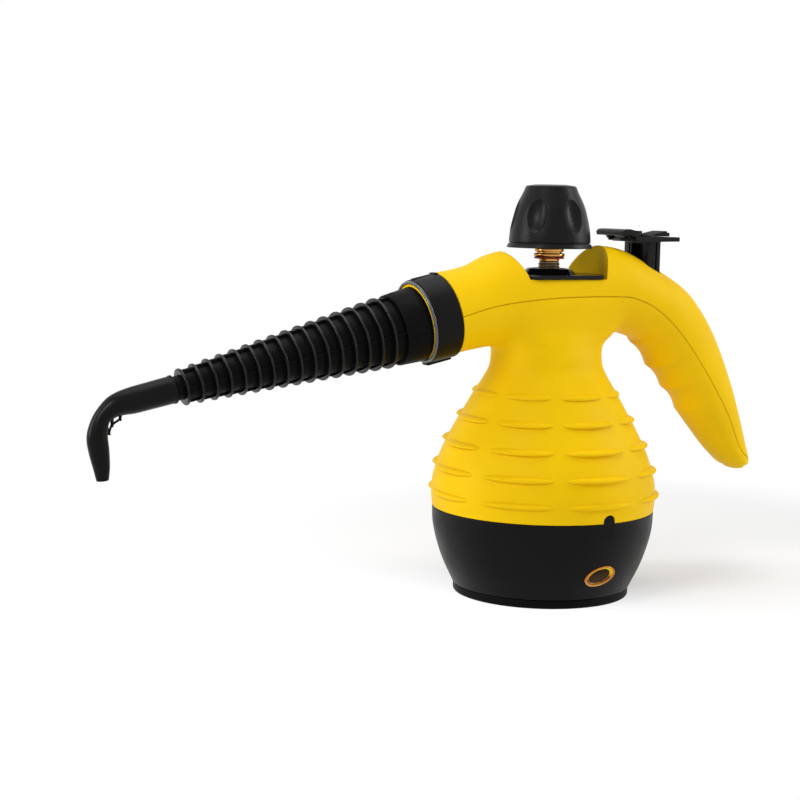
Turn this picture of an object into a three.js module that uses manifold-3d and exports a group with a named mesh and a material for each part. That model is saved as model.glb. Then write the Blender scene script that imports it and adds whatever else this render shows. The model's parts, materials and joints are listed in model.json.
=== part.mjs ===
// Handheld steam cleaner: a pressure boiler in a flask-shaped housing, with a horn above it that
// holds the steam outlet at the front (-X) and the handle at the back (+X). Millimetres, +Z up.
// The origin is the centre of the flat foot, and -Y is the left side of someone who holds it.
import * as THREE from "three";
import { mergeVertices } from "three/addons/utils/BufferGeometryUtils.js";
import Module from "manifold-3d";

const wasm = await Module();
wasm.setup();

// Clearances and walls shared by the whole machine
const fitGap = 0.3; // between two pieces that touch or pass through each other
const wall = 2.5; // moulded housing wall
const overrun = 5; // how far a cutting solid passes through what it cuts
const weldDistance = 1e-4; // corners nearer than this are one

// Facets round turned pieces
const roundSides = 24; // the flask and what fits in it
const snoutSides = 20;
const neckSides = 16;
const boilerSides = 12; // the boiler and the nozzle extension
const elbowSides = 8;
const stemSides = 10; // small turned parts
const screwSides = 6;
const wireSides = 4;

// Housing: the flask, which is round in plan up to its oval neck
const flaskRadius = 65.8;
const seamHeight = 50.5; // where the coloured body meets the dark base
const neckHeight = 137; // narrowest place under the horn
const neckHalfLength = 34.4;
const neckHalfWidth = 27;
const ovalShare = 0.3; // the neck turns oval where the flask is this near to it
const ovalEase = 1.5;
const footRadius = 51.6;
const footHeight = 4.7;
const footEdge = 1;

// Housing: the horn, from the snout over the neck to the end of the handle
const hornHeight = 203.3;
const hornHalfWidth = 24;
const handleReach = 147.5;
const gripPitch = 17.6; // between the crests of the finger grooves
const gripDepth = 1.9;
const gripCount = 3; // grooves between the crests
const gripShare = 0.711; // height of the first crest, of the horn's
const hollowEndLift = 1.5; // how the hollow's end stays clear of the handle's end, in walls

// Ribs round the flask
const ribsPerRow = 8;
const ribFirst = 60.2;
const ribPitch = 14.6;
const ribThickness = 3.2;
const ribProud = 3;
const ribSpan = 38; // degrees
const ribSink = 0.25; // how deep the rib's ends sink into the skin, of how far it stands out
const ribRoundness = 3;
const ribEdgeShare = 0.45; // how far the rib's edges stand out, of its crest

// Pocket for the cap, round about the filler axis
const pocketRadius = 34;
const pocketShift = 1; // the pocket's middle lies this far behind the filler axis
const pocketDepth = 18.9; // under the horn's top
const pocketFloor = hornHeight - pocketDepth;

// Nozzle axis: it leaves the filler axis at this height and points down to the front
const nozzleDrop = 24; // under the horn's top
const nozzleHeight = hornHeight - nozzleDrop;
const nozzleTilt = 12.7; // degrees
const nozzleSag = 0.97; // the extension hangs this much lower in its collar
const snoutReach = 71; // from the filler axis along the nozzle axis
const snoutRadius = 24.3;
const snoutFlat = 1.6; // how much flatter the snout's end is underneath
const spigotRadius = 21.6; // moulded ring that carries the collar
const spigotLength = 16;
const spigotWall = 1.5;

// Collar round the snout
const collarLength = 17.5;
const collarRearRadius = 24.3;
const collarFrontRadius = 23.9;
const collarWall = 1.9;
const collarLip = 1.2;
const collarTabWidth = 7;
const topTabLength = 2;
const topTabProud = 0.5;
const bottomTabProud = 0.9;

// Nozzle extension with its cooling discs
const flangeRadius = 21.1;
const flangeLength = 15;
const discCount = 16;
const discFirstRadius = 20.15;
const discLastRadius = 10.05;
const discPitch = 7.9;
const discThickness = 1.4;
const discProud = 2.7;
const webProud = 1.5; // webs between the discs, over the tapering core
const webThickness = 1.8;
const extensionWall = 2.2;
const plugInRadius = 17.8; // the part that turns inside the collar
const plugInLength = 9;
const lugProud = 0.5;
const lugWidth = 6;
const lugLength = 3;
const tipRadius = 5.2;
const tipLength = 16;
const tipBore = 2.6;

// Elbow nozzle
const elbowGap = 4; // bare tip between the last disc and the elbow
const socketRadius = 7.4;
const elbowReach = 47.8; // from the rear rim to the middle of the mouth
const elbowDrop = 36.5; // from the nozzle axis to the mouth
const mouthBore = 1.6;
const toothRadius = 0.9;
const toothStrip = 0.6;

// Filler: plate in the pocket and the threaded neck of the boiler
const plateThickness = 2.1;
const plateRadius = 32.5;
const plateHalfWidth = 23.8;
const funnelRise = 5.7;
const funnelTop = pocketFloor + funnelRise;
const funnelTopRadius = 12.4;
const funnelFootRadius = 16;
const funnelBore = 10.4;
const capTravelDown = 12; // from the raised cap to the seated one
const threadRadius = 6.3;
const neckRimRadius = 9.9;
const neckTubeRadius = 8.6;
const neckRimThickness = 3;

// Cap: a hollow grip with a brass valve stem
const capRaised = 17.4; // over the pocket's floor
const capHeight = 36.5;
const capBottom = pocketFloor + capRaised;
const capTop = capBottom + capHeight;
const capRimRadius = 24.9;
const capRimHeight = 2.4;
const capRimEdge = 1.5; // upright part of the rim
const capShoulderRadius = 14.3;
const capWall = 3.8;
const dimpleCount = 6;
const dimpleWidth = 11.5;
const dimpleHeight = 19.8;
const dimpleDepth = 2.6;
const dimpleRiseShare = 0.54; // of the cap's height
const dimpleCentre = capBottom + dimpleRiseShare * capHeight;
const dimpleShare = 0.27; // how far the cap's side has come in where the dimples are
const dimpleTurn = 39; // degrees from the nozzle direction
const stemHeight = 22.2;
const stemTop = capBottom + stemHeight;
const stemBodyRadius = 7.4;
const upperDiscRadius = 8.45;
const lowerDiscRadius = 8.95;
const stemDisc = 2.2;
const stemGroove = 0.8;
const gasketThickness = 1;
const stemNeckRadius = 5.9;
const stemNeckLength = 1;
const threadEngaged = 4.5;
const stemBore = 2;
const reliefChamberRadius = 4.6;
const reliefChamberRise = 1.7; // over the cap's rim
const reliefChamberFloor = capBottom + reliefChamberRise;
const reliefLift = 1.5;
const springWire = 0.9;
const springTurns = 4;
const springSteps = 5; // straight pieces in a turn

// Valve in the handle, which stands over the horn's underside
const valveShare = 0.4414; // of the handle's reach
const valveX = valveShare * handleReach;
const undersideShare = 0.742; // of the horn's height, under the valve
const valveClear = 2.25;
const valveHeight = 13;
const valveHalfSize = 8;
const valveLow = undersideShare * hornHeight + wall + valveClear;
const valveTop = valveLow + valveHeight;
const plungerRadius = 2.2;
const plungerHeadRadius = 4;
const plungerHead = 2;
const springRadius = 5.8;
const pipeRadius = 2.6;
const pipeDrop = 8.6; // from the valve's top to the axis of its inlet
const outletDrop = 13.3; // from the pocket's floor to the outlet pipe beside the filler neck
const jetRadius = 5;
const jetLength = 24;

// Steam trigger on the handle, over the valve
const triggerForward = 24.1;
const triggerBackward = 16.9;
const triggerRise = 10.1; // over the horn's top
const triggerFront = valveX - triggerForward;
const triggerRear = valveX + triggerBackward;
const triggerTop = hornHeight + triggerRise;
const triggerThickness = 3;
const triggerHalfWidth = 14;
const gussetDepth = 6;
const postHalfLength = 4.5;
const postHalfWidth = 12.4;
const postWall = 2;
const postRib = 3;
const springSpace = 9.4; // between the valve's top and the post
const postBottom = valveTop + springSpace;
const triggerTravel = 4.5;
const lockSetback = 2.5; // from the trigger's rear end
const lockLength = 10.5;
const lockHalfWidth = 7;
const lockHeight = 3.2;
const lockToe = 1; // height of its front end
const lockHeel = 1.6; // height of its rear end
const lockChamfer = 1;
const lockRidges = 5;
const lockRidgePitch = 1.26;
const lockGroove = 0.5;

// Boiler: two cast halves bolted at a flange, with a seal between them
const boilerRadius = 40;
const boilerBottom = 26;
const boilerTop = 104;
const boilerSplit = 62;
const boilerWall = 3;
const boilerFlangeRadius = 50;
const boilerFlange = 4;
const sealThickness = 1.6;
const boilerBolts = 4;
const boltCircle = 45;
const boltRadius = 2;
const boltHeadRadius = 3.6;
const boltHead = 3;
const heaterRadius = 18;
const heaterTube = 3.6;
const heaterGapAngle = 40; // degrees
const heaterPoints = 24;
const heaterSteps = 14;
const thermostatRadius = 8;
const thermostatHeight = 9;
const fuseRadius = 1.9;
const fuseLength = 9;
const fuseGap = 1.2;

// Base
const baseLip = 5;
const baseScrews = 4;
const screwCircle = 38;
const screwRadius = 1.6;
const screwHeadRadius = 3.4;
const screwHead = 2.2;
const screwLength = 14;
const offAxes = 0.5; // screws and bolts stand half a step off the axes
const bossRadius = 4.4;
const postRadius = 4; // struts that carry the boiler
const tabWidth = 7.1; // arch of the base that stands in a notch of the body
const tabHeight = 4.5;
const tabShift = 4; // from the machine's middle towards the handle
const tabSink = 0.2; // under the base's skin
const lensWidth = 17.4;
const lensHeight = 11.6;
const lensCentre = 18.5;
const lensShift = 2.2; // from the machine's middle towards the handle
const lensTilt = 15; // degrees
const lensProud = 1.2;
const lampRadius = 2.5;
const lampLength = 12;
const glandHeight = 17;
const glandRadius = 7;
const glandBore = 3.6;
const glandLength = 16;
const terminalLength = 26;
const terminalWidth = 14;
const terminalHeight = 8;

// Finishes
const finish = (colour, roughness, metalness = 0) => ({ color: colour, roughness, metalness });
const yellow = finish(0xe8b800, 0.42);
const black = finish(0x1b1a1c, 0.45);
const grainyBlack = finish(0x232226, 0.62);
const brass = finish(0xc08a3c, 0.3, 1);
const steel = finish(0xb6b8bb, 0.35, 1);
const alloy = finish(0x9a9da1, 0.45, 0.9);
const rubber = finish(0x9c2b1c, 0.7);
const amber = finish(0xd0650c, 0.15);
const cream = finish(0xe6dfcc, 0.5);

const degrees = THREE.MathUtils.degToRad;
const clamp = THREE.MathUtils.clamp;
const lerp = THREE.MathUtils.lerp;
const at = (x, y, z) => new THREE.Vector3(x, y, z);

// A closed geometry as a solid for joining and cutting, turned to face out if it doesn't
function solid(geometry) {
  const bare = geometry.clone();
  bare.deleteAttribute("normal");
  bare.deleteAttribute("uv");
  const merged = mergeVertices(bare, weldDistance);
  const place = merged.getAttribute("position");
  const corners = new Uint32Array(merged.index.array);
  const [a, b, c] = [at(), at(), at()];
  let volume = 0;
  for (let i = 0; i < corners.length; i += 3) {
    a.fromBufferAttribute(place, corners[i]);
    b.fromBufferAttribute(place, corners[i + 1]);
    c.fromBufferAttribute(place, corners[i + 2]);
    volume += a.dot(b.cross(c));
  }
  if (volume < 0) corners.reverse();
  const vertProperties = new Float32Array(place.array);
  return new wasm.Manifold(new wasm.Mesh({ numProp: 3, vertProperties, triVerts: corners }));
}

function geometryOf(body) {
  const mesh = body.getMesh();
  const geometry = new THREE.BufferGeometry();
  geometry.setAttribute("position", new THREE.BufferAttribute(mesh.vertProperties, mesh.numProp));
  geometry.setIndex(new THREE.BufferAttribute(mesh.triVerts, 1));
  geometry.computeVertexNormals();
  return geometry;
}

const join = (...bodies) => bodies.reduce((sum, body) => sum.add(body));
const cut = (body, ...tools) => tools.reduce((rest, tool) => rest.subtract(tool), body);

// A profile of [radius, height] pairs turned about the Z axis
function revolve(profile, sides) {
  const points = profile.map(([r, z]) => new THREE.Vector2(Math.max(r, 0), z));
  return new THREE.LatheGeometry(points, sides).rotateX(Math.PI / 2);
}

// A round bar along Z between two heights, or a tube where a bore is given
function bar(radius, low, high, sides, bore = 0) {
  const ends = [[radius, low], [radius, high]];
  if (bore > 0) return revolve([[bore, low], ...ends, [bore, high], [bore, low]], sides);
  return revolve([[0, low], ...ends, [0, high]], sides);
}

function block(low, high) {
  const size = at().subVectors(high, low);
  const middle = at().addVectors(low, high).divideScalar(2);
  return new THREE.BoxGeometry(size.x, size.y, size.z).translate(middle.x, middle.y, middle.z);
}

// An outline in X and Z drawn through the width of the machine
function plank(outline, halfWidth) {
  const shape = new THREE.Shape(outline.map(([x, z]) => new THREE.Vector2(x, z)));
  const extruded = new THREE.ExtrudeGeometry(shape, { depth: 2 * halfWidth, bevelEnabled: false });
  return extruded.rotateX(Math.PI / 2).translate(0, halfWidth, 0);
}

// Rings of equal length joined into one closed skin with a fan at each end
function loft(rings) {
  const sides = rings[0].length;
  const places = rings.flat().flatMap((p) => [p.x, p.y, p.z]);
  const faces = [];
  for (let row = 0; row + 1 < rings.length; row++) {
    for (let side = 0; side < sides; side++) {
      const next = (side + 1) % sides;
      const [a, b] = [row * sides + side, row * sides + next];
      faces.push(a, b, b + sides, a, b + sides, a + sides);
    }
  }
  for (const [row, forward] of [[0, false], [rings.length - 1, true]]) {
    const middle = rings[row].reduce((sum, p) => sum.add(p), at(0, 0, 0)).divideScalar(sides);
    const hub = places.length / 3;
    places.push(middle.x, middle.y, middle.z);
    for (let side = 0; side < sides; side++) {
      const [a, b] = [row * sides + side, row * sides + ((side + 1) % sides)];
      faces.push(...(forward ? [a, b, hub] : [b, a, hub]));
    }
  }
  const geometry = new THREE.BufferGeometry();
  geometry.setAttribute("position", new THREE.Float32BufferAttribute(places, 3));
  geometry.setIndex(faces);
  return geometry;
}

// A round tube that follows a line of points in X and Z, each with its own radius
function hose(line, radii, sides) {
  const rings = line.map((point, i) => {
    const before = line[Math.max(i - 1, 0)];
    const after = line[Math.min(i + 1, line.length - 1)];
    const along = at().subVectors(after, before).normalize();
    const across = at(0, 1, 0);
    const up = at().crossVectors(along, across).normalize();
    return Array.from({ length: sides }, (_, side) => {
      const turn = (2 * Math.PI * side) / sides;
      const offset = across.clone().multiplyScalar(Math.cos(turn)).addScaledVector(up, Math.sin(turn));
      return point.clone().addScaledVector(offset, radii[i]);
    });
  });
  return loft(rings);
}

// A compression spring about the Z axis
class Helix extends THREE.Curve {
  constructor(radius, low, high, turns) {
    super();
    Object.assign(this, { radius, low, high, turns });
  }
  getPoint(share, target = at()) {
    const turn = 2 * Math.PI * this.turns * share;
    const height = lerp(this.low, this.high, share);
    return target.set(this.radius * Math.cos(turn), this.radius * Math.sin(turn), height);
  }
}

function spring(radius, low, high) {
  const half = springWire / 2;
  const corners = around(wireSides, half).map(([x, y]) => new THREE.Vector2(x, y));
  const extrudePath = new Helix(radius, low + half, high - half, springTurns);
  const options = { steps: springTurns * springSteps, extrudePath };
  return new THREE.ExtrudeGeometry(new THREE.Shape(corners), options);
}

// Places at equal steps on a circle, from the direction of +X
function around(count, radius, shift = 0) {
  return Array.from({ length: count }, (_, i) => {
    const turn = (2 * Math.PI * (i + shift)) / count;
    return [radius * Math.cos(turn), radius * Math.sin(turn)];
  });
}

// A curve through rows of numbers, so that a form is set by few rows and drawn with many
function smoothRows(rows, count) {
  const columns = rows[0].map((_, column) => rows.map((row) => row[column]));
  const curves = columns.map((values) => {
    const points = values.map((value, i) => at(i / (values.length - 1), value, 0));
    return new THREE.CatmullRomCurve3(points, false, "catmullrom");
  });
  const rowAt = (share) => curves.map((curve) => curve.getPoint(share).y);
  return Array.from({ length: count }, (_, i) => rowAt(i / (count - 1)));
}

// Two groups lie along the nozzle axis (X up, Z to the front): one for what is fixed to the snout,
// and one a little lower for the extension and the elbow
const machine = new THREE.Group();
const [snout, nozzle] = [nozzleHeight, nozzleHeight - nozzleSag].map((height) => {
  const group = new THREE.Group();
  group.position.set(0, 0, height);
  group.rotation.y = -degrees(90 + nozzleTilt);
  group.updateMatrix();
  machine.add(group);
  return group;
});
const alongSnout = (geometry) => geometry.clone().applyMatrix4(snout.matrix);

function place(name, body, look, group = machine) {
  const geometry = body.isBufferGeometry ? geometryOf(solid(body)) : geometryOf(body);
  const mesh = new THREE.Mesh(geometry, new THREE.MeshStandardMaterial(look));
  mesh.name = name;
  group.add(mesh);
}

// Flask: height between seam and neck, and radius between neck and flask
const flaskShares = [
  [0, 0.975], [0.1, 1], [0.2, 0.971], [0.32, 0.879], [0.44, 0.742], [0.56, 0.573],
  [0.67, 0.401], [0.78, 0.242], [0.88, 0.108], [0.95, 0.024], [1, 0],
];

function flaskRow([heightShare, swell]) {
  const z = lerp(seamHeight, neckHeight, heightShare);
  const halfLength = lerp(neckHalfLength, flaskRadius, swell);
  const flatten = Math.pow(clamp(1 - swell / ovalShare, 0, 1), ovalEase);
  const halfWidth = lerp(halfLength, neckHalfWidth, flatten);
  return [z, halfLength, halfWidth];
}

// The neck flares into the horn above its narrowest place: rise, half length and half width
const flareShares = [[0.065, 1.0, 0.96], [0.13, 1.02, 0.92], [0.19, 1.08, 0.9], [0.24, 1.15, 0.88],
  [0.5, 1.2, 0.86]];
const flareRow = ([rise, longer, narrower]) => [
  lerp(neckHeight, hornHeight, rise), neckHalfLength * longer, neckHalfWidth * narrower];
const flaskRows = [...flaskShares.map(flaskRow), ...flareShares.map(flareRow)];

// The hollow side of the skin stays straight as far as the base's lip reaches into it
function flaskSkin(inset, rowCount) {
  const rows = smoothRows(flaskRows, rowCount);
  if (inset) {
    const mouth = rows.shift().slice(1);
    rows.unshift([seamHeight - overrun, ...mouth], [seamHeight + baseLip + fitGap, ...mouth]);
  }
  const rings = rows.map(([z, halfLength, halfWidth]) => around(roundSides, 1).map(([x, y]) =>
    at((halfLength - inset) * x, (halfWidth - inset) * y, z)));
  return solid(loft(rings));
}

// Horn stations from the snout to the handle's end: top point, bottom point and half width.
// X is a share of the handle's reach, Z of the horn's height, the width of the horn's half width.
const hornShares = [
  [-0.376, 0.941, -0.348, 0.708, 0.98],
  [-0.261, 0.976, -0.251, 0.716, 0.98],
  [-0.102, 0.996, -0.102, 0.712, 0.99],
  [0.081, 1.002, 0.061, 0.714, 1.00],
  [0.210, 1.0015, 0.195, 0.730, 1.00],
  [0.312, 0.992, 0.286, 0.751, 0.99],
  [0.406, 0.965, 0.353, 0.742, 0.97],
  [0.527, 0.921, 0.409, 0.727, 0.95],
  [0.629, 0.877, 0.435, 0.700, 0.92],
  [0.705, 0.822, 0.468, 0.670, 0.89],
  [0.772, 0.755, 0.527, 0.618, 0.85],
  [0.831, 0.675, 0.601, 0.556, 0.81],
  [0.886, 0.586, 0.666, 0.499, 0.76],
  [0.932, 0.498, 0.729, 0.447, 0.69],
  [0.968, 0.420, 0.798, 0.392, 0.61],
  [0.9995, 0.348, 0.871, 0.345, 0.50],
  [0.983, 0.329, 0.908, 0.331, 0.32],
];

function snoutPoint(along, up) {
  const tilt = degrees(nozzleTilt);
  const x = -along * Math.cos(tilt) - up * Math.sin(tilt);
  const z = nozzleHeight - along * Math.sin(tilt) + up * Math.cos(tilt);
  return [x, z];
}

function hornRows() {
  const [topX, topZ] = snoutPoint(snoutReach, snoutRadius);
  const [bottomX, bottomZ] = snoutPoint(snoutReach, snoutFlat - snoutRadius);
  const rows = hornShares.map(([tx, tz, bx, bz, wide]) => [
    tx * handleReach, tz * hornHeight, bx * handleReach, bz * hornHeight, wide * hornHalfWidth]);
  return [[topX, topZ, bottomX, bottomZ, snoutRadius], ...rows];
}

// The underside of the handle dips between crests that lie one pitch apart
function gripDip(bottom, start) {
  const travelled = Math.hypot(bottom.x - start.x, bottom.z - start.z);
  const below = bottom.x > start.x && bottom.z < start.z;
  if (!below || travelled > gripCount * gripPitch) return 0;
  return gripDepth * Math.abs(Math.sin((Math.PI * travelled) / gripPitch));
}

function hornSkin(inset, rowCount, sides, grooved) {
  const rows = smoothRows(hornRows(), rowCount);
  const gripStart = gripShare * hornHeight;
  const crest = rows.find(([tx, , bx, bz]) => bx > 0 && tx > handleReach / 2 && bz < gripStart);
  const start = at(crest[2], 0, crest[3]);
  const rings = rows.map(([tx, tz, bx, bz, wide], i) => {
    const top = at(tx, 0, tz);
    const bottom = at(bx, 0, bz);
    const dip = grooved ? gripDip(bottom, start) : 0;
    bottom.add(at().subVectors(top, bottom).setLength(dip));
    const centre = at().addVectors(top, bottom).divideScalar(2);
    const up = at().subVectors(top, centre);
    const reach = up.length() - inset;
    if (inset && i === rows.length - 1) centre.add(at(-inset / 2, 0, hollowEndLift * inset));
    return around(sides, 1).map(([rise, side]) =>
      centre.clone().add(up.clone().setLength(reach * rise)).add(at(0, (wide - inset) * side, 0)));
  });
  return solid(loft(rings));
}

// The parting line of the horn, seen from the side, as shares of handle reach and horn height
const partingShares = [
  [-0.716, 0.755], [-0.457, 0.810], [-0.289, 0.839], [-0.046, 0.856], [0.236, 0.858], [0.323, 0.849],
  [0.405, 0.825], [0.488, 0.785], [0.575, 0.726], [0.677, 0.639], [0.762, 0.557],
  [0.831, 0.484], [0.882, 0.416], [0.921, 0.380], [0.957, 0.362], [1.125, 0.300],
];
const partingRows = partingShares.map(([x, z]) => [x * handleReach, z * hornHeight]);
const partingSteps = 24;

function aboveParting(lift) {
  const line = smoothRows(partingRows, partingSteps);
  const raised = line.map(([x, z], i) => {
    const [ax, az] = line[Math.max(i - 1, 0)];
    const [bx, bz] = line[Math.min(i + 1, line.length - 1)];
    const run = Math.hypot(bx - ax, bz - az);
    return [x - (lift * (bz - az)) / run, z + (lift * (bx - ax)) / run];
  });
  const left = -2 * handleReach;
  const right = 2 * handleReach;
  const roof = 2 * hornHeight;
  const outline = [[left, raised[0][1]], ...raised, [right, raised.at(-1)[1]], [right, roof],
    [left, roof]];
  return solid(plank(outline, 2 * hornHalfWidth));
}

// One rib lies along the skin, and sinks into it towards both ends
const ribStations = [-1, -0.45, 0.45, 1];
const ribRowShares = [0.8, 1, 1.1, 0.9, 0.57]; // how far each row stands out, from the bottom
const skinSteps = 200;
const skinRows = smoothRows(flaskRows, skinSteps);
function skinPoint(turn, height, outward) {
  const [, halfLength, halfWidth] = skinRows.find((row) => row[0] >= height);
  return at((halfLength + outward) * Math.cos(turn), (halfWidth + outward) * Math.sin(turn), height);
}

function rib(height, direction, crest) {
  const low = height - ribThickness / 2;
  const high = height + ribThickness / 2;
  const shoulder = height + ribThickness / 6;
  const rings = ribStations.map((station) => {
    const fullness = 1 - Math.pow(Math.abs(station), ribRoundness);
    const proud = crest * ((1 + ribSink) * fullness - ribSink);
    const turn = direction + degrees(ribSpan / 2) * station;
    return [skinPoint(turn, low, -wall / 2), skinPoint(turn, low, Math.min(proud, ribEdgeShare * crest)),
      skinPoint(turn, shoulder, proud), skinPoint(turn, high, -wall / 2)];
  });
  return solid(loft(rings));
}

// Housing: flask and horn joined, hollowed, then parted along the line on the horn
const flaskOuterRows = 11;
const flaskInnerRows = 6;
const hornOuterRows = 25;
const hornInnerRows = 10;
const hornSides = 14;
const hornInnerSides = 10;
const flaskOuter = flaskSkin(0, flaskOuterRows);
const flaskInner = flaskSkin(wall, flaskInnerRows);
const hornOuter = hornSkin(0, hornOuterRows, hornSides, true);
const hornInner = hornSkin(wall, hornInnerRows, hornInnerSides, false);

const spigot = solid(alongSnout(bar(spigotRadius, snoutReach - wall / 2, snoutReach + spigotLength,
  snoutSides, spigotRadius - spigotWall)));
const jetHole = solid(alongSnout(bar(jetRadius + fitGap, 0, snoutReach + overrun, stemSides)));
const beyondBulkhead = solid(alongSnout(bar(2 * snoutRadius, snoutReach - wall, 2 * snoutReach,
  stemSides)));

const pocketRoom = (radius, floor) =>
  solid(bar(radius, floor, 2 * hornHeight, roundSides).translate(pocketShift, 0, 0));
const pocket = pocketRoom(pocketRadius, pocketFloor);
const pocketCup = pocketRoom(pocketRadius + wall, pocketFloor - wall);
const fillerHole = solid(bar(neckRimRadius + fitGap, pocketFloor - overrun, pocketFloor + overrun,
  neckSides));

// The slot that the trigger's post slides in
const slot = solid(block(
  at(valveX - postHalfLength - fitGap, -postHalfWidth - fitGap, postBottom - 2 * triggerTravel),
  at(valveX + postHalfLength + fitGap, postHalfWidth + fitGap, hornHeight)));

// The base's arch, or with some growth the notch for it, on the -Y side
const baseTop = seamHeight - fitGap;
const baseBottom = footHeight + fitGap;
const archShares = [[-0.5, 0.45], [-0.33, 0.85], [-0.12, 1], [0.12, 1], [0.33, 0.85], [0.5, 0.45]];
function arch(low, grow) {
  const top = archShares.map(([across, rise]) => [
    tabShift + across * (tabWidth + 2 * grow), baseTop + rise * tabHeight + grow]);
  const outline = [[top[0][0], low], ...top, [top.at(-1)[0], low]];
  return solid(plank(outline, flaskRadius / 2).translate(0, -flaskRadius, 0));
}

const hollow = cut(join(flaskInner, hornInner), pocketCup, beyondBulkhead);
const fullHousing = cut(join(flaskOuter, hornOuter, spigot), hollow, pocket, jetHole);
const ribs = ribRowShares.flatMap((share, row) => around(ribsPerRow, 1).map(([x, y]) =>
  rib(ribFirst + row * ribPitch, Math.atan2(y, x), share * ribProud)));
const archNotch = arch(seamHeight - overrun, fitGap);
place("body_shell", cut(join(cut(fullHousing, aboveParting(0)), ...ribs), archNotch), yellow);
place("top_cover", cut(fullHousing.intersect(aboveParting(fitGap)), fillerHole, slot), yellow);

// Base: a bowl with an inner lip that stands up inside the body, and a screwed foot plate
const baseShares = [[0, 0.79], [0.28, 0.882], [0.53, 0.942], [0.77, 0.979], [1, 0.988]];
const bowlPoint = ([rise, share], inset) => [
  share * flaskRadius - inset, lerp(baseBottom, baseTop, rise)];
const bowlInset = wall + wall / 2; // the bowl's wall where it slopes
const [bowlFoot, bowlLow, , bowlHigh, bowlRim] = baseShares;
const lipRadius = bowlPoint(bowlRim, wall + fitGap)[0];

function baseProfile() {
  const lip = [[lipRadius, baseTop], [lipRadius, baseTop + baseLip],
    [lipRadius - wall / 2, baseTop + baseLip]];
  const floorRadius = screwCircle - bossRadius;
  const footInside = bowlPoint(bowlFoot, wall)[0];
  return [...baseShares.map((row) => bowlPoint(row, 0)), ...lip, bowlPoint(bowlHigh, bowlInset),
    bowlPoint(bowlLow, bowlInset), [footInside, baseBottom + wall], [floorRadius, baseBottom + wall],
    [floorRadius, baseBottom], bowlPoint(bowlFoot, 0)];
}

const screwPlaces = around(baseScrews, screwCircle, offAxes);
const boltPlaces = around(boilerBolts, boltCircle, offAxes);
const bars = (places, radius, low, high, sides, bore) => places.map(([x, y]) =>
  solid(bar(radius, low, high, sides, bore).translate(x, y, 0)));

function radiusOfBase(height) {
  const rise = (height - baseBottom) / (baseTop - baseBottom);
  const next = baseShares.findIndex(([share]) => share >= rise);
  const [[lowRise, low], [highRise, high]] = [baseShares[next - 1], baseShares[next]];
  return flaskRadius * lerp(low, high, (rise - lowRise) / (highRise - lowRise));
}
const lensRadius = radiusOfBase(lensCentre);
const lensRun = radiusOfBase(lensCentre + overrun) - radiusOfBase(lensCentre - overrun);
const baseSlope = Math.atan2(lensRun, 2 * overrun);

// An oval plug whose axis points out of the base wall on the -Y side
function lensPlug(grow, inward, outward) {
  const plug = new THREE.CylinderGeometry(1, 1, inward + outward, neckSides);
  plug.scale(lensWidth / 2 + grow, 1, lensHeight / 2 + grow);
  plug.translate(0, (outward - inward) / 2, 0);
  plug.rotateX(Math.PI);
  plug.rotateY(-degrees(lensTilt));
  plug.rotateX(-baseSlope);
  return plug.translate(lensShift, -lensRadius, lensCentre);
}

const glandHole = solid(bar(glandRadius + fitGap, 0, 2 * flaskRadius, boilerSides).rotateY(Math.PI / 2)
  .translate(0, 0, glandHeight));
const bosses = bars(screwPlaces, bossRadius, baseBottom, baseBottom + screwLength, screwSides,
  screwRadius + fitGap);
const archRing = solid(bar(bowlPoint(bowlRim, tabSink)[0], 0, 2 * seamHeight, roundSides,
  lipRadius - wall / 2));
const archTab = arch(baseTop - tabSink, 0).intersect(archRing);
const bowl = join(solid(revolve(baseProfile(), roundSides)), ...bosses, archTab);
place("base_shell", cut(bowl, solid(lensPlug(fitGap, 2 * overrun, overrun)), glandHole,
  ...bars(screwPlaces, screwRadius + fitGap, 0, seamHeight, screwSides)), black);

const footPlate = solid(revolve([[0, 0], [footRadius - footEdge, 0], [footRadius, footEdge],
  [footRadius, footHeight], [0, footHeight]], roundSides));
place("bottom_plate", cut(footPlate,
  ...bars(screwPlaces, screwRadius + fitGap, -overrun, 2 * footHeight, screwSides),
  ...bars(screwPlaces, screwHeadRadius + fitGap, -overrun, screwHead + fitGap, screwSides)), black);

screwPlaces.forEach(([x, y], i) => place(`base_screw_${i + 1}`,
  revolve([[0, fitGap], [screwHeadRadius, fitGap], [screwHeadRadius, screwHead], [screwRadius, screwHead],
    [screwRadius, screwLength], [0, screwLength]], screwSides).translate(x, y, 0), steel));

place("indicator_lens", lensPlug(0, wall, lensProud), amber);
const lampFront = lensRadius - wall / Math.cos(baseSlope) - lampRadius * Math.tan(baseSlope) - fitGap;
place("indicator_lamp", bar(lampRadius, 0, lampLength, stemSides).rotateX(-Math.PI / 2)
  .translate(lensShift, -lampFront, lensCentre), amber);

const glandInner = bowlPoint(baseShares[2], wall)[0] - 2 * overrun;
place("cord_gland", revolve([[glandBore, 0], [glandRadius, 0], [glandRadius, glandLength],
  [glandRadius + wall, glandLength], [glandRadius + wall, glandLength + wall],
  [glandBore, glandLength + wall], [glandBore, 0]], boilerSides).rotateY(Math.PI / 2)
  .translate(glandInner, 0, glandHeight), black);

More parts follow.
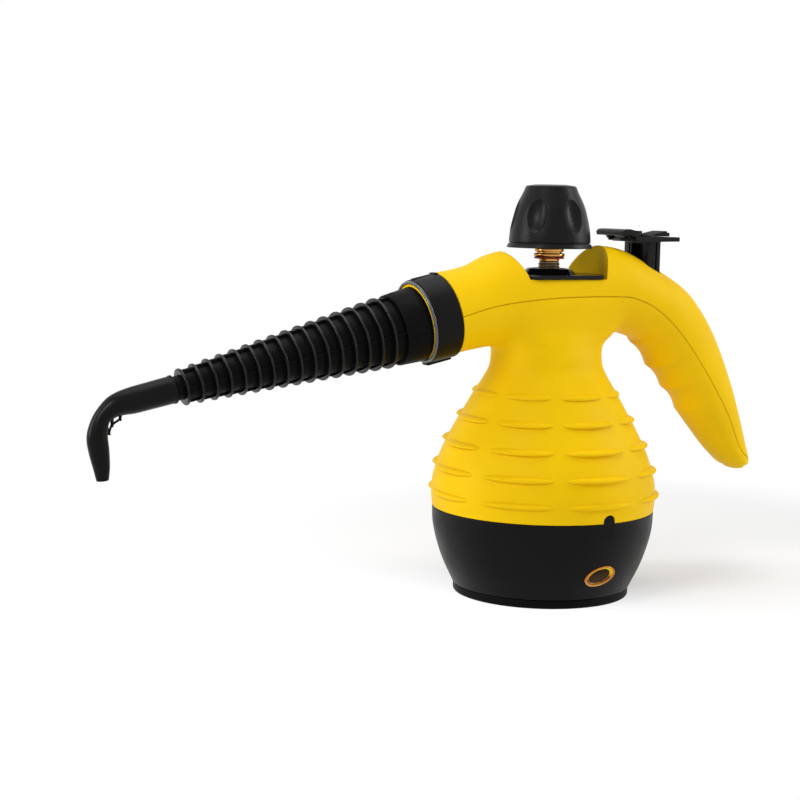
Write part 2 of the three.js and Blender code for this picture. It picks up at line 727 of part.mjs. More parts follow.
// Boiler: lower and upper halves, seal, bolts, and the heater coiled under it
const boilerInner = boilerRadius - boilerWall;
const domeShares = [[1, 0], [0.88, 0.7], [0.5, 1]];
const dome = (radius, wallHeight, rise) => domeShares.map(([r, h]) => [r * radius, wallHeight + h * rise]);
const domeRise = boilerRadius / 2;
const innerRise = domeRise - boilerWall;
const lowerShoulder = boilerBottom + domeRise;
const upperShoulder = boilerTop - domeRise;
const splitLow = boilerSplit - sealThickness / 2;
const splitHigh = boilerSplit + sealThickness / 2;
const flangeLow = splitLow - boilerFlange;
const flangeHigh = splitHigh + boilerFlange;
const lowerFace = splitLow - fitGap / 2;
const upperFace = splitHigh + fitGap / 2;
const neckHole = neckTubeRadius + fitGap;

const lowerBoiler = solid(revolve([[0, boilerBottom],
  ...dome(boilerRadius, lowerShoulder, -domeRise).reverse(),
  [boilerRadius, flangeLow], [boilerFlangeRadius, flangeLow], [boilerFlangeRadius, lowerFace],
  [boilerInner, lowerFace], ...dome(boilerInner, lowerShoulder, -innerRise),
  [0, boilerBottom + boilerWall]], boilerSides));
const upperBoiler = solid(revolve([[neckHole, boilerTop],
  ...dome(boilerRadius, upperShoulder, domeRise).reverse(),
  [boilerRadius, flangeHigh], [boilerFlangeRadius, flangeHigh], [boilerFlangeRadius, upperFace],
  [boilerInner, upperFace], ...dome(boilerInner, upperShoulder, innerRise),
  [neckHole, boilerTop - boilerWall], [neckHole, boilerTop]], boilerSides));
const lowerHollow = solid(revolve([[0, boilerBottom + boilerWall],
  ...dome(boilerInner, lowerShoulder, -innerRise).reverse(),
  [boilerInner, boilerTop], [0, boilerTop]], boilerSides));
const bossTop = baseBottom + screwLength;
const boltHoles = bars(boltPlaces, boltRadius + fitGap, 0, boilerTop, screwSides);
const struts = bars(screwPlaces, postRadius, bossTop + fitGap, splitLow - boilerFlange / 2, screwSides);
const strutBlind = bars(screwPlaces, screwRadius + fitGap, 0, bossTop + overrun, screwSides);
place("boiler_lower_half", cut(join(lowerBoiler, ...struts), lowerHollow, ...boltHoles, ...strutBlind),
  alloy);

const outletX = boilerRadius / 2;
const outletHole = solid(bar(pipeRadius + fitGap, upperShoulder, 2 * boilerTop, stemSides)
  .translate(outletX, 0, 0));
place("boiler_upper_half", cut(upperBoiler, ...boltHoles, outletHole), alloy);
const sealRing = solid(bar(boilerFlangeRadius, splitLow + fitGap / 2, splitHigh - fitGap / 2,
  boilerSides, boilerInner));
place("boiler_seal", cut(sealRing, ...boltHoles), rubber);
const boltSeat = flangeHigh + fitGap;
boltPlaces.forEach(([x, y], i) => place(`boiler_bolt_${i + 1}`, revolve([
  [0, flangeLow - boltHead], [boltRadius, flangeLow - boltHead], [boltRadius, boltSeat],
  [boltHeadRadius, boltSeat], [boltHeadRadius, boltSeat + boltHead], [0, boltSeat + boltHead]],
screwSides).translate(x, y, 0), steel));

function heaterLine() {
  const start = degrees(heaterGapAngle / 2);
  const end = 2 * Math.PI - start;
  const height = boilerBottom - heaterTube - fitGap;
  return Array.from({ length: heaterPoints + 1 }, (_, i) => {
    const turn = lerp(start, end, i / heaterPoints);
    return at(heaterRadius * Math.cos(turn), heaterRadius * Math.sin(turn), height);
  });
}

function tube(curve, radius, steps) {
  const section = new THREE.Shape().absarc(0, 0, radius, 0, 2 * Math.PI);
  return new THREE.ExtrudeGeometry(section, { steps, curveSegments: 3, extrudePath: curve });
}
place("heating_element", tube(new THREE.CatmullRomCurve3(heaterLine()), heaterTube, heaterSteps), steel);

const underBoiler = boilerBottom - fitGap;
place("thermostat", bar(thermostatRadius, underBoiler - thermostatHeight, underBoiler, boilerSides),
  cream);
const fuseX = thermostatRadius + fuseGap + fuseRadius;
place("thermal_fuse", bar(fuseRadius, -fuseLength / 2, fuseLength / 2, screwSides).rotateX(Math.PI / 2)
  .translate(-fuseX, 0, underBoiler - fuseRadius), steel);
const terminalFront = heaterRadius - terminalWidth;
const terminalFloor = baseBottom + fitGap;
place("terminal_block", block(at(terminalFront, -terminalLength / 2, terminalFloor),
  at(heaterRadius, terminalLength / 2, terminalFloor + terminalHeight)), cream);

// Filler: threaded neck of the boiler and the plate that closes the pocket's floor
const gasketBottom = capBottom - 2 * stemDisc - stemGroove - gasketThickness;
const neckTop = gasketBottom - capTravelDown - fitGap;
const neckFoot = boilerTop - 2 * boilerWall;
const neckBore = threadRadius + fitGap;
place("filler_neck", revolve([[neckBore, neckFoot], [neckTubeRadius, neckFoot],
  [neckTubeRadius, neckTop - neckRimThickness], [neckRimRadius, neckTop - neckRimThickness],
  [neckRimRadius, neckTop], [neckBore, neckTop], [neckBore, neckFoot]], neckSides), brass);

const plateBottom = pocketFloor + fitGap;
const plateTop = plateBottom + plateThickness;
const plateSquare = solid(block(at(-2 * plateRadius, -plateHalfWidth, plateBottom),
  at(2 * plateRadius, plateHalfWidth, plateTop)));
const plate = solid(bar(plateRadius, plateBottom, plateTop, roundSides).translate(pocketShift, 0, 0));
const funnel = solid(revolve([[0, plateBottom], [funnelFootRadius, plateBottom],
  [funnelFootRadius, plateTop], [funnelTopRadius, funnelTop], [0, funnelTop]], roundSides));
const funnelHole = solid(bar(funnelBore, 0, 2 * hornHeight, roundSides));
place("filler_funnel", cut(join(plate.intersect(plateSquare), funnel), funnelHole), black);

// Cap: grip shell, brass stem, gasket, and the relief valve inside the stem
const capSkirtRadius = capRimRadius - capRimHeight / 2;
const capInward = capSkirtRadius - capShoulderRadius;
const capShares = [[0.07, 0], [0.13, 0.01], [0.41, 0.15], [0.6, 0.33], [0.74, 0.56], [0.94, 0.95],
  [0.975, 1.1]];
const capPoint = ([rise, inward], inset) => [
  capSkirtRadius - inset - inward * capInward, capBottom + rise * capHeight];

function capProfile() {
  const crown = capTop - capWall;
  const hub = stemBodyRadius + fitGap;
  const hubFoot = capBottom + capRimHeight;
  const outside = [[capRimRadius, capBottom], [capRimRadius, capBottom + capRimEdge],
    ...capShares.map((row) => capPoint(row, 0)), [0, capTop]];
  const slope = capShares.filter(([, inward]) => inward > 0 && inward < 1);
  const inside = slope.map((row) => capPoint(row, capWall)).map(([r, z]) => [r, Math.min(z, crown)]);
  const underside = [[capSkirtRadius - capWall, capBottom], ...inside, [hub + wall, crown],
    [hub + wall, hubFoot], [hub, hubFoot], [hub, stemTop + fitGap], [0, stemTop + fitGap]];
  return [...underside.reverse(), ...outside];
}

function dimple([x, y]) {
  const ballRadius = 2 * dimpleDepth;
  const clip = Math.sqrt(1 - ((ballRadius - dimpleDepth) / ballRadius) ** 2);
  const ball = new THREE.SphereGeometry(1, elbowSides, screwSides);
  ball.scale(ballRadius, dimpleWidth / 2 / clip, dimpleHeight / 2 / clip);
  ball.rotateY(-Math.atan2(capInward, capHeight));
  ball.translate(capSkirtRadius - dimpleShare * capInward + ballRadius - dimpleDepth, 0, dimpleCentre);
  return solid(ball.rotateZ(degrees(dimpleTurn) + Math.atan2(y, x)));
}
place("cap_shell", cut(solid(revolve(capProfile(), neckSides)), ...around(dimpleCount, 1).map(dimple)),
  grainyBlack);

const lowerDiscFoot = gasketBottom + gasketThickness + fitGap;
const lowerDiscTop = gasketBottom + gasketThickness + stemDisc;
const upperDiscFoot = lowerDiscTop + stemGroove;
const upperDiscTop = upperDiscFoot + stemDisc;
const threadTop = gasketBottom - stemNeckLength;
const threadBottom = neckTop - threadEngaged;
place("cap_stem", revolve([[stemBore, threadBottom], [threadRadius, threadBottom],
  [threadRadius, threadTop], [stemNeckRadius, threadTop], [stemNeckRadius, lowerDiscFoot],
  [lowerDiscRadius, lowerDiscFoot], [lowerDiscRadius, lowerDiscTop], [stemBodyRadius, lowerDiscTop],
  [stemBodyRadius, upperDiscFoot], [upperDiscRadius, upperDiscFoot], [upperDiscRadius, upperDiscTop],
  [stemBodyRadius, upperDiscTop], [stemBodyRadius, stemTop], [reliefChamberRadius, stemTop],
  [reliefChamberRadius, reliefChamberFloor], [stemBore, reliefChamberFloor], [stemBore, threadBottom]],
stemSides), brass);
place("cap_gasket", bar(lowerDiscRadius - fitGap, gasketBottom, gasketBottom + gasketThickness,
  stemSides, stemNeckRadius + fitGap), rubber);

const reliefRadius = reliefChamberRadius - fitGap;
const reliefFoot = reliefChamberFloor + fitGap;
const reliefHead = reliefFoot + 2 * reliefLift;
const reliefTip = reliefHead + 2 * reliefLift;
place("relief_plunger", revolve([[0, reliefFoot], [reliefRadius, reliefFoot], [reliefRadius, reliefHead],
  [springWire, reliefHead], [springWire, reliefTip], [0, reliefTip]], stemSides), brass);
place("relief_spring", spring(reliefRadius - springWire / 2, reliefHead + fitGap, stemTop - fitGap), steel);

// Trigger: a finger plate that steps down to a flat rear plate, on a post that slides in the slot.
// Its outline runs along the trigger's length, and down from its top in thicknesses.
const triggerShares = [[0, 0.8], [0.06, 0.16], [0.234, 0], [0.33, 0.4], [0.44, 1.5], [1, 1.5], [1, 2.5],
  [0.385, 2.5], [0.22, 1.87], [0.117, 1.87]];
const triggerPoint = ([along, down]) => [
  lerp(triggerFront, triggerRear, along), triggerTop - down * triggerThickness];
const rearTop = triggerPoint(triggerShares[5])[1];
const rearUnder = rearTop - triggerThickness;
const triggerPlate = solid(plank(triggerShares.map(triggerPoint), triggerHalfWidth));

const postFront = valveX - postHalfLength;
const postRear = valveX + postHalfLength;
const postRoof = rearUnder - postWall;
const postBlock = solid(block(at(postFront, -postHalfWidth, postBottom),
  at(postRear, postHalfWidth, rearUnder + triggerThickness / 2)));
const sideRecess = solid(block(at(postFront + postRib, postHalfWidth - postWall, postBottom - overrun),
  at(postRear - postWall, postHalfWidth + overrun, postRoof)));
const frontRecess = solid(block(at(postFront - overrun, 2 * postWall - postHalfWidth, postBottom - overrun),
  at(postFront + postWall, postHalfWidth - 2 * postWall, postRoof)));
const post = cut(postBlock, sideRecess, sideRecess.mirror([0, 1, 0]), frontRecess);

const gussetTop = triggerTop - triggerThickness;
const gusset = solid(plank([[triggerFront + gussetDepth, gussetTop],
  [triggerFront + 2 * gussetDepth, gussetTop - gussetDepth], [postFront + postWall, gussetTop - gussetDepth],
  [postFront + postWall, gussetTop]], postWall / 2).translate(0, triggerHalfWidth - postWall, 0));
place("trigger_button", join(triggerPlate, post, gusset, gusset.mirror([0, 1, 0])), black);

const lockLow = rearTop + fitGap;
const lockRear = triggerRear - lockSetback;
const lockFront = lockRear - lockLength;
function lockOutline() {
  const top = lockLow + lockHeight;
  const points = [[lockFront, lockLow], [lockRear, lockLow], [lockRear, lockLow + lockHeel]];
  for (let i = 0; i < lockRidges; i++) {
    const x = lockRear - lockChamfer - i * lockRidgePitch;
    const middle = x - lockRidgePitch / 2;
    points.push([x, top], [middle, top], [middle, top - lockGroove], [x - lockRidgePitch, top - lockGroove]);
  }
  return [...points, [lockFront, lockLow + lockToe]];
}
place("lock_slider", plank(lockOutline(), lockHalfWidth), black);

// Valve: brass block on the steam line, plunger pushed by the trigger's post, return spring
const plungerTop = postBottom - fitGap;
const plungerBottom = valveLow + valveHeight / 2;
const valveBlock = solid(block(at(valveX - valveHalfSize, -valveHalfSize, valveLow),
  at(valveX + valveHalfSize, valveHalfSize, valveTop)));
const valveBore = solid(bar(plungerRadius + fitGap, plungerBottom - triggerTravel - fitGap,
  valveTop + overrun, stemSides).translate(valveX, 0, 0));
place("steam_valve_body", cut(valveBlock, valveBore), brass);
place("valve_plunger", revolve([[0, plungerBottom], [plungerRadius, plungerBottom],
  [plungerRadius, plungerTop - plungerHead], [plungerHeadRadius, plungerTop - plungerHead],
  [plungerHeadRadius, plungerTop], [0, plungerTop]], stemSides).translate(valveX, 0, 0), brass);
place("trigger_spring", spring(springRadius, valveTop + fitGap, postBottom - fitGap)
  .translate(valveX, 0, 0), steel);

// Steam pipes: boiler to valve, and valve past the filler neck to the jet in the snout
const inletSteps = 10;
const outletSteps = 16;
const inletHeight = valveTop - pipeDrop;
const inletTurn = inletHeight - overrun;
const valveFront = valveX - valveHalfSize;
const inletLine = [at(outletX, 0, boilerTop - boilerWall), at(outletX, 0, boilerTop + overrun),
  at(outletX, 0, (boilerTop + inletTurn) / 2), at(outletX + overrun, 0, inletTurn),
  at(valveFront - overrun, 0, inletHeight), at(valveFront - fitGap, 0, inletHeight)];
place("inlet_pipe", tube(new THREE.CatmullRomCurve3(inletLine), pipeRadius, inletSteps), steel);

const jetBack = snoutReach - jetLength / 2;
const jetFront = jetBack + jetLength;
const [jetX, jetZ] = snoutPoint(jetBack, 0);
const [leadX, leadZ] = snoutPoint(jetBack - 2 * overrun, 0);
const outletStart = valveTop - pipeRadius - fitGap;
const outletHeight = pocketFloor - outletDrop;
const pipeSide = neckTubeRadius + 2 * pipeRadius;
const outletLine = [at(valveFront - fitGap, 0, outletStart), at(valveFront - overrun, 0, outletStart),
  at(valveX - 3 * valveHalfSize, -valveHalfSize, outletHeight - wall), at(pipeSide, -pipeSide, outletHeight),
  at(0, -pipeSide, outletHeight), at(-pipeSide, -pipeSide / 2, outletHeight - wall), at(leadX, 0, leadZ),
  at(jetX, 0, jetZ)];
place("outlet_pipe", tube(new THREE.CatmullRomCurve3(outletLine), pipeRadius, outletSteps), steel);
place("outlet_jet", revolve([[tipBore / 2, jetBack + fitGap], [jetRadius, jetBack + fitGap],
  [jetRadius, jetFront - overrun], [jetRadius - wall / 2, jetFront], [tipBore / 2, jetFront],
  [tipBore / 2, jetBack + fitGap]], stemSides), brass, snout);

// Collar with a nub above and a key below, drawn along the nozzle axis
const collarBack = snoutReach + fitGap;
const collarFront = collarBack + collarLength;
const collarBore = spigotRadius + fitGap;
const spigotEnd = snoutReach + spigotLength + fitGap;
const lipBore = collarFrontRadius - collarWall;
const collarRing = solid(revolve([[collarBore, collarBack], [collarRearRadius, collarBack],
  [collarRearRadius, collarBack + overrun], [collarFrontRadius + collarLip / 3, collarFront - collarLip],
  [collarFrontRadius, collarFront], [lipBore, collarFront], [lipBore, spigotEnd],
  [collarBore, spigotEnd], [collarBore, collarBack]], snoutSides));
const collarNub = solid(block(at(lipBore + collarLip, -collarTabWidth / 2, collarBack),
  at(collarRearRadius + topTabProud, collarTabWidth / 2, collarBack + topTabLength)));
const collarKey = solid(block(at(-collarRearRadius - bottomTabProud, -collarTabWidth / 2, collarBack),
  at(-lipBore - collarLip, collarTabWidth / 2, collarFront - collarLip)));
place("snout_collar", join(collarRing, collarNub, collarKey), black, snout);

// Nozzle extension: a bayonet plug and a sleeve, then cooling discs on a core that tapers to the tip
const flangeBack = collarFront + fitGap;
const extensionBack = flangeBack - plugInLength;
const discStart = flangeBack + flangeLength;
const discEnd = discStart + discCount * discPitch;
const tipEnd = discEnd + tipLength;
const firstCore = discFirstRadius - discProud;
const lastCore = discLastRadius - discProud;

function extensionSkin() {
  const points = [[0, extensionBack], [plugInRadius, extensionBack], [plugInRadius, flangeBack],
    [flangeRadius, flangeBack], [flangeRadius - extensionWall / 2, discStart]];
  for (let i = 0; i < discCount; i++) {
    const radius = lerp(discFirstRadius, discLastRadius, i / (discCount - 1));
    const core = radius - discProud;
    const front = discStart + (i + 1) * discPitch;
    points.push([core, front - discPitch], [core, front - discThickness],
      [radius, front - discThickness], [radius, front]);
  }
  return [...points, [tipRadius, discEnd], [tipRadius, tipEnd], [0, tipEnd]];
}

function extensionBore() {
  const backBore = plugInRadius - extensionWall;
  const tipStart = discEnd - 2 * discPitch;
  return [[0, extensionBack - overrun], [backBore, extensionBack - overrun], [backBore, extensionBack],
    [backBore - extensionWall, discStart], [lastCore - extensionWall, tipStart - extensionWall],
    [tipBore, tipStart], [tipBore, tipEnd + overrun], [0, tipEnd + overrun]];
}

// Webs on both sides, above and below run through all the discs
const [firstWeb, lastWeb] = [firstCore + webProud, lastCore + webProud];
const [webBack, webFront] = [discStart - overrun, discEnd - discThickness / 2];
const webOutline = [[-firstWeb, webBack], [firstWeb, webBack], [lastWeb, webFront], [-lastWeb, webFront]];
const web = plank(webOutline, webThickness / 2);
const sideWeb = web.clone().rotateZ(Math.PI / 2);
const lug = solid(block(at(-lugWidth / 2, -plugInRadius - lugProud, extensionBack),
  at(lugWidth / 2, plugInRadius + lugProud, extensionBack + lugLength)));
const discSkin = solid(revolve(extensionSkin(), boilerSides));
const extensionBody = join(discSkin, solid(web), solid(sideWeb), lug);
place("nozzle_extension", cut(extensionBody, solid(revolve(extensionBore(), boilerSides))), black, nozzle);

// Elbow: forward, down and radius along its middle line, as shares of reach, drop and socket
const elbowShares = [
  [0, 0, 1.05], [0.03, 0, 1.05], [0.04, 0, 1], [0.282, 0, 0.98], [0.471, 0, 0.96], [0.617, 0, 0.865],
  [0.722, 0.025, 0.757], [0.847, 0.118, 0.622], [0.916, 0.247, 0.676], [0.956, 0.395, 0.75],
  [0.969, 0.584, 0.73], [0.981, 0.816, 0.601], [1, 1, 0.446],
];
const toothShares = [[0.663, 0.203], [0.766, 0.26], [0.820, 0.367]]; // inside the bend
const elbowBack = discEnd + elbowGap;
const elbowPoint = ([forward, down]) => at(-down * elbowDrop, 0, elbowBack + forward * elbowReach);
const elbowPath = elbowShares.map(elbowPoint);
const elbowSkin = solid(hose(elbowPath, elbowShares.map((row) => row[2] * socketRadius), elbowSides));
const beyondMouth = elbowPath.at(-1).clone().add(at(-overrun, 0, 0));
const boreLine = [elbowPath[0], ...elbowPath.slice(3), beyondMouth];
const elbowBore = solid(hose(boreLine, boreLine.map(() => mouthBore), screwSides));
const socket = solid(bar(tipRadius + fitGap, elbowBack - overrun, tipEnd + fitGap, boilerSides));
const toothEnds = toothShares.map(elbowPoint);
const teeth = toothEnds.map((end, i) =>
  solid(hose([end, elbowPath[i + 5]], [toothRadius, toothRadius], wireSides)));
const strip = solid(hose(toothEnds, toothEnds.map(() => toothStrip), wireSides));
place("elbow_nozzle", cut(join(elbowSkin, ...teeth, strip), socket, elbowBore), black, nozzle);

export default machine;
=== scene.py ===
import json
import math

import bmesh
import bpy
import numpy as np
from mathutils import Matrix, Vector
from mathutils.bvhtree import BVHTree


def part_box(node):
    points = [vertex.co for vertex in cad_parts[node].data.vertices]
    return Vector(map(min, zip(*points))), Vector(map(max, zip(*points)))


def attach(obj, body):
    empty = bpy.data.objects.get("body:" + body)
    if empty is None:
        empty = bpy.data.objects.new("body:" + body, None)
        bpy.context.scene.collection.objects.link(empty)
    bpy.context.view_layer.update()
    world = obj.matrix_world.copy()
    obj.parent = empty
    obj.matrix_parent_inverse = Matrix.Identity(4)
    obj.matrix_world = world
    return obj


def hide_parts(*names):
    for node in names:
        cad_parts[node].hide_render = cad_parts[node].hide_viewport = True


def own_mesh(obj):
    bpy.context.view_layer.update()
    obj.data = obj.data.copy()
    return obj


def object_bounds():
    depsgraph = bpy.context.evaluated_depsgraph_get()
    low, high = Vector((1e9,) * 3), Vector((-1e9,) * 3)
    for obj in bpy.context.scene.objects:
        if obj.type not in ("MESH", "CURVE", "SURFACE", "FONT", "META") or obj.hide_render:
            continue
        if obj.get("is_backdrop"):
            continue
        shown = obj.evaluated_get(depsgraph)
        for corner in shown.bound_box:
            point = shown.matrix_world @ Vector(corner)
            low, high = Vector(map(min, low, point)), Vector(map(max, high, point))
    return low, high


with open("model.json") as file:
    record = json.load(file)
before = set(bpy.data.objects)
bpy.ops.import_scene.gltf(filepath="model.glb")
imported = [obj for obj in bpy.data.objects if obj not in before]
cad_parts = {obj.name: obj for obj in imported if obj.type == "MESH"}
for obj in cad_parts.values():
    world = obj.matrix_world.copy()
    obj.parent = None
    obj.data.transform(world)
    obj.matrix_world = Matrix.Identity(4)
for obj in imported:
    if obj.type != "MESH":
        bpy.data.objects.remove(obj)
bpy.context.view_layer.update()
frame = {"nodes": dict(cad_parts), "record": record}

# The sizes are in millimetres, as in the CAD source, and become metres where a mesh is made.
MM = 0.001
FLASK_RADIUS, SEAM, NECK, NECK_LONG, NECK_WIDE = 65.8, 50.5, 137.0, 34.4, 27.0
HORN_TOP, HORN_WIDE, REACH = 203.3, 24.0, 147.5
WALL, GAP = 2.5, 0.3
POCKET_X, POCKET_RADIUS, POCKET_FLOOR = 1.0, 34.0, 184.4
NOZZLE_Z, SAG, TILT = 179.3, 0.97, 12.7
SNOUT_REACH, SNOUT_RADIUS = 71.0, 24.3


# Shapes

def catmull(rows, count):
    """A smooth curve of so many points through the rows."""
    rows = np.asarray(rows, float)
    last = len(rows) - 1
    pad = np.vstack([2 * rows[0] - rows[1], rows, 2 * rows[-1] - rows[-2]])
    t = np.linspace(0, last, count)
    i = np.minimum(t.astype(int), last - 1)
    w = (t - i)[:, None]
    a, b, c, d = pad[i], pad[i + 1], pad[i + 2], pad[i + 3]
    return 0.5 * (2 * b + (c - a) * w + (2 * a - 5 * b + 4 * c - d) * w ** 2
                  + (3 * b - a - 3 * c + d) * w ** 3)


def rounded(points, radius, steps=4, closed=False):
    """An outline with its corners replaced by arcs. A point may carry its own radius as a third number."""
    out = []
    count = len(points)
    for i, p in enumerate(points):
        r = p[2] if len(p) > 2 else radius
        here = np.array(p[:2], float)
        if not closed and i in (0, count - 1) or r <= 0:
            out.append(here)
            continue
        back = np.array(points[i - 1][:2], float) - here
        ahead = np.array(points[(i + 1) % count][:2], float) - here
        lb, la = np.linalg.norm(back), np.linalg.norm(ahead)
        back, ahead = back / lb, ahead / la
        cosine = float(np.clip(back @ ahead, -1, 1))
        if abs(cosine) > 0.999:
            out.append(here)
            continue
        half = math.acos(cosine) / 2
        cut_back = min(r / math.tan(half), 0.48 * lb, 0.48 * la)
        r = cut_back * math.tan(half)
        centre = here + (back + ahead) / np.linalg.norm(back + ahead) * r / math.sin(half)
        first, final = here + back * cut_back - centre, here + ahead * cut_back - centre
        a0, a1 = math.atan2(first[1], first[0]), math.atan2(final[1], final[0])
        turn = (a1 - a0 + math.pi) % (2 * math.pi) - math.pi
        for k in range(steps + 1):
            a = a0 + turn * k / steps
            out.append(centre + r * np.array([math.cos(a), math.sin(a)]))
    return np.array(out)


def round_section(points, radius, steps=4):
    return [tuple(p) for p in rounded(points, radius, steps, True)]


def new_object(name, mesh, sharp):
    obj = bpy.data.objects.new(name, mesh)
    bpy.context.scene.collection.objects.link(obj)
    shade(obj, sharp)
    return obj


def make(name, points, faces, sharp=35):
    """A closed mesh with all its faces turned out."""
    mesh = bpy.data.meshes.new(name)
    mesh.from_pydata([tuple(p) for p in np.asarray(points, float) * MM], [], faces)
    mesh.validate()
    work = bmesh.new()
    work.from_mesh(mesh)
    bmesh.ops.remove_doubles(work, verts=work.verts, dist=1e-7)
    bmesh.ops.recalc_face_normals(work, faces=work.faces)
    if work.calc_volume(signed=True) < 0:
        bmesh.ops.reverse_faces(work, faces=work.faces)
    work.to_mesh(mesh)
    work.free()
    return new_object(name, mesh, sharp)


def shade(obj, sharp=35):
    obj.data.shade_smooth()
    obj.data.set_sharp_from_angle(angle=math.radians(sharp))


def turned(name, profile, sides=96, sharp=35):
    """A closed profile of [radius, height] pairs, turned about Z."""
    turn = np.linspace(0, 2 * math.pi, sides, endpoint=False)
    points, rows = [], []
    for r, z in profile:
        if r < 1e-6:
            rows.append([len(points)] * sides)
            points.append((0, 0, z))
        else:
            rows.append(list(range(len(points), len(points) + sides)))
            points.extend((r * math.cos(a), r * math.sin(a), z) for a in turn)
    faces = []
    count = len(rows)
    closed = count if profile[0][0] > 1e-6 or profile[-1][0] > 1e-6 else count - 1
    for k in range(closed):
        low, high = rows[k], rows[(k + 1) % count]
        for s in range(sides):
            n = (s + 1) % sides
            face = [low[s], low[n], high[n], high[s]]
            face = [f for i, f in enumerate(face) if f not in face[:i]]
            if len(face) > 2:
                faces.append(face)
    return make(name, points, faces, sharp)


def drum(name, radius, low, high, sides, bore=0):
    """A cylinder about Z, or a ring where it has a bore."""
    return turned(name, [(bore, low), (radius, low), (radius, high), (bore, high)], sides)


def lofted(name, rings, sharp=35):
    """A solid through rings of equally many points, closed at both ends."""
    rings = np.asarray(rings, float)
    count, sides, _ = rings.shape
    faces = []
    for k in range(count - 1):
        for s in range(sides):
            n = (s + 1) % sides
            faces.append((k * sides + s, k * sides + n, (k + 1) * sides + n, (k + 1) * sides + s))
    faces.append(tuple(range(sides))[::-1])
    faces.append(tuple(range((count - 1) * sides, count * sides)))
    return make(name, rings.reshape(-1, 3), faces, sharp)


def swept(name, line, radii, sides=32, sharp=50):
    """A round tube along points in the XZ plane, each with its own radius."""
    line = np.asarray(line, float)
    across = np.array([0.0, 1.0, 0.0])
    turn = np.linspace(0, 2 * math.pi, sides, endpoint=False)[:, None]
    rings = []
    for i, p in enumerate(line):
        along = line[min(i + 1, len(line) - 1)] - line[max(i - 1, 0)]
        up = np.cross(along / np.linalg.norm(along), across)
        up /= np.linalg.norm(up)
        rings.append(p + (np.cos(turn) * across + np.sin(turn) * up) * radii[i])
    return lofted(name, rings, sharp)


def plank(name, outline, low, high, sharp=35):
    """A closed outline in X and Z, drawn through Y between two places."""
    n = len(outline)
    points = [(x, low, z) for x, z in outline] + [(x, high, z) for x, z in outline]
    faces = [tuple(range(n)), tuple(range(2 * n - 1, n - 1, -1))]
    faces += [(k, (k + 1) % n, (k + 1) % n + n, k + n) for k in range(n)]
    return make(name, points, faces, sharp)


def slab(name, low, high, edge=0.4):
    """A block whose edges are rounded."""
    low, high = np.array(low, float), np.array(high, float)
    work = bmesh.new()
    bmesh.ops.create_cube(work, size=1)
    for v in work.verts:
        v.co = Vector(((low + high) / 2 + np.array(v.co) * (high - low)) * MM)
    if edge > 0:
        bmesh.ops.bevel(work, geom=work.edges[:], offset=edge * MM, segments=3, profile=0.5, affect="EDGES")
    mesh = bpy.data.meshes.new(name)
    work.to_mesh(mesh)
    work.free()
    return new_object(name, mesh, 35)


def boolean(obj, tool, operation):
    change = obj.modifiers.new("work", "BOOLEAN")
    change.operation = operation
    change.object = tool
    change.solver = "MANIFOLD"
    bpy.context.view_layer.update()
    result = bpy.data.meshes.new_from_object(obj.evaluated_get(bpy.context.evaluated_depsgraph_get()))
    obj.modifiers.clear()
    old, obj.data = obj.data, result
    result.name = obj.name
    bpy.data.meshes.remove(old)
    discard(tool)
    return obj


def discard(obj):
    mesh = obj.data
    bpy.data.objects.remove(obj)
    bpy.data.meshes.remove(mesh)


def copy(obj, name):
    return new_object(name, obj.data.copy(), 35)


def union(obj, *tools):
    for tool in tools:
        boolean(obj, tool, "UNION")
    return obj


def cut(obj, *tools):
    for tool in tools:
        boolean(obj, tool, "DIFFERENCE")
    return obj


def moved(obj, matrix):
    obj.data.transform(matrix)
    if matrix.determinant() < 0:
        obj.data.flip_normals()
    return obj


def shift(x=0.0, y=0.0, z=0.0):
    return Matrix.Translation((x * MM, y * MM, z * MM))


def about_z(turn):
    return Matrix.Rotation(turn, 4, "Z")


SNOUT = shift(z=NOZZLE_Z) @ Matrix.Rotation(-math.radians(90 + TILT), 4, "Y")
NOZZLE = shift(z=-SAG) @ SNOUT


def vertices(obj):
    co = np.zeros(len(obj.data.vertices) * 3)
    obj.data.vertices.foreach_get("co", co)
    return co.reshape(-1, 3) / MM


def set_vertices(obj, points):
    obj.data.vertices.foreach_set("co", (points * MM).ravel())
    obj.data.update()


def shortened(obj, share):
    """Draws the half of a piece on the handle side towards the middle."""
    points = vertices(obj)
    points[:, 0] = np.where(points[:, 0] > 0, points[:, 0] * share, points[:, 0])
    set_vertices(obj, points)
    return obj


def finish(obj, body, material, slot, *nodes):
    """Gives a piece its material and its body, and hides the CAD nodes that it stands for."""
    obj.data.materials.clear()
    obj.data.materials.append(material)
    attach(obj, body)
    if nodes:
        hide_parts(*nodes)
    return obj


# Materials

def nodes_of(name):
    material = bpy.data.materials.new(name)
    material.use_nodes = True
    tree = material.node_tree
    return material, tree, tree.nodes["Principled BSDF"]


def link(tree, a, out, b, into):
    tree.links.new(a.outputs[out], b.inputs[into])


def noise(tree, scale, detail=3.0, stretch=None):
    place = tree.nodes.new("ShaderNodeTexCoord")
    node = tree.nodes.new("ShaderNodeTexNoise")
    node.inputs["Scale"].default_value = scale
    node.inputs["Detail"].default_value = detail
    if stretch:
        mapping = tree.nodes.new("ShaderNodeMapping")
        mapping.inputs["Scale"].default_value = stretch
        link(tree, place, "Object", mapping, "Vector")
        link(tree, mapping, "Vector", node, "Vector")
    else:
        link(tree, place, "Object", node, "Vector")
    return node


def ramp(tree, source, out, stops):
    node = tree.nodes.new("ShaderNodeValToRGB")
    while len(node.color_ramp.elements) < len(stops):
        node.color_ramp.elements.new(0.5)
    for element, (place, colour) in zip(node.color_ramp.elements, stops):
        element.position = place
        element.color = (*colour, 1)
    link(tree, source, out, node, "Fac")
    return node


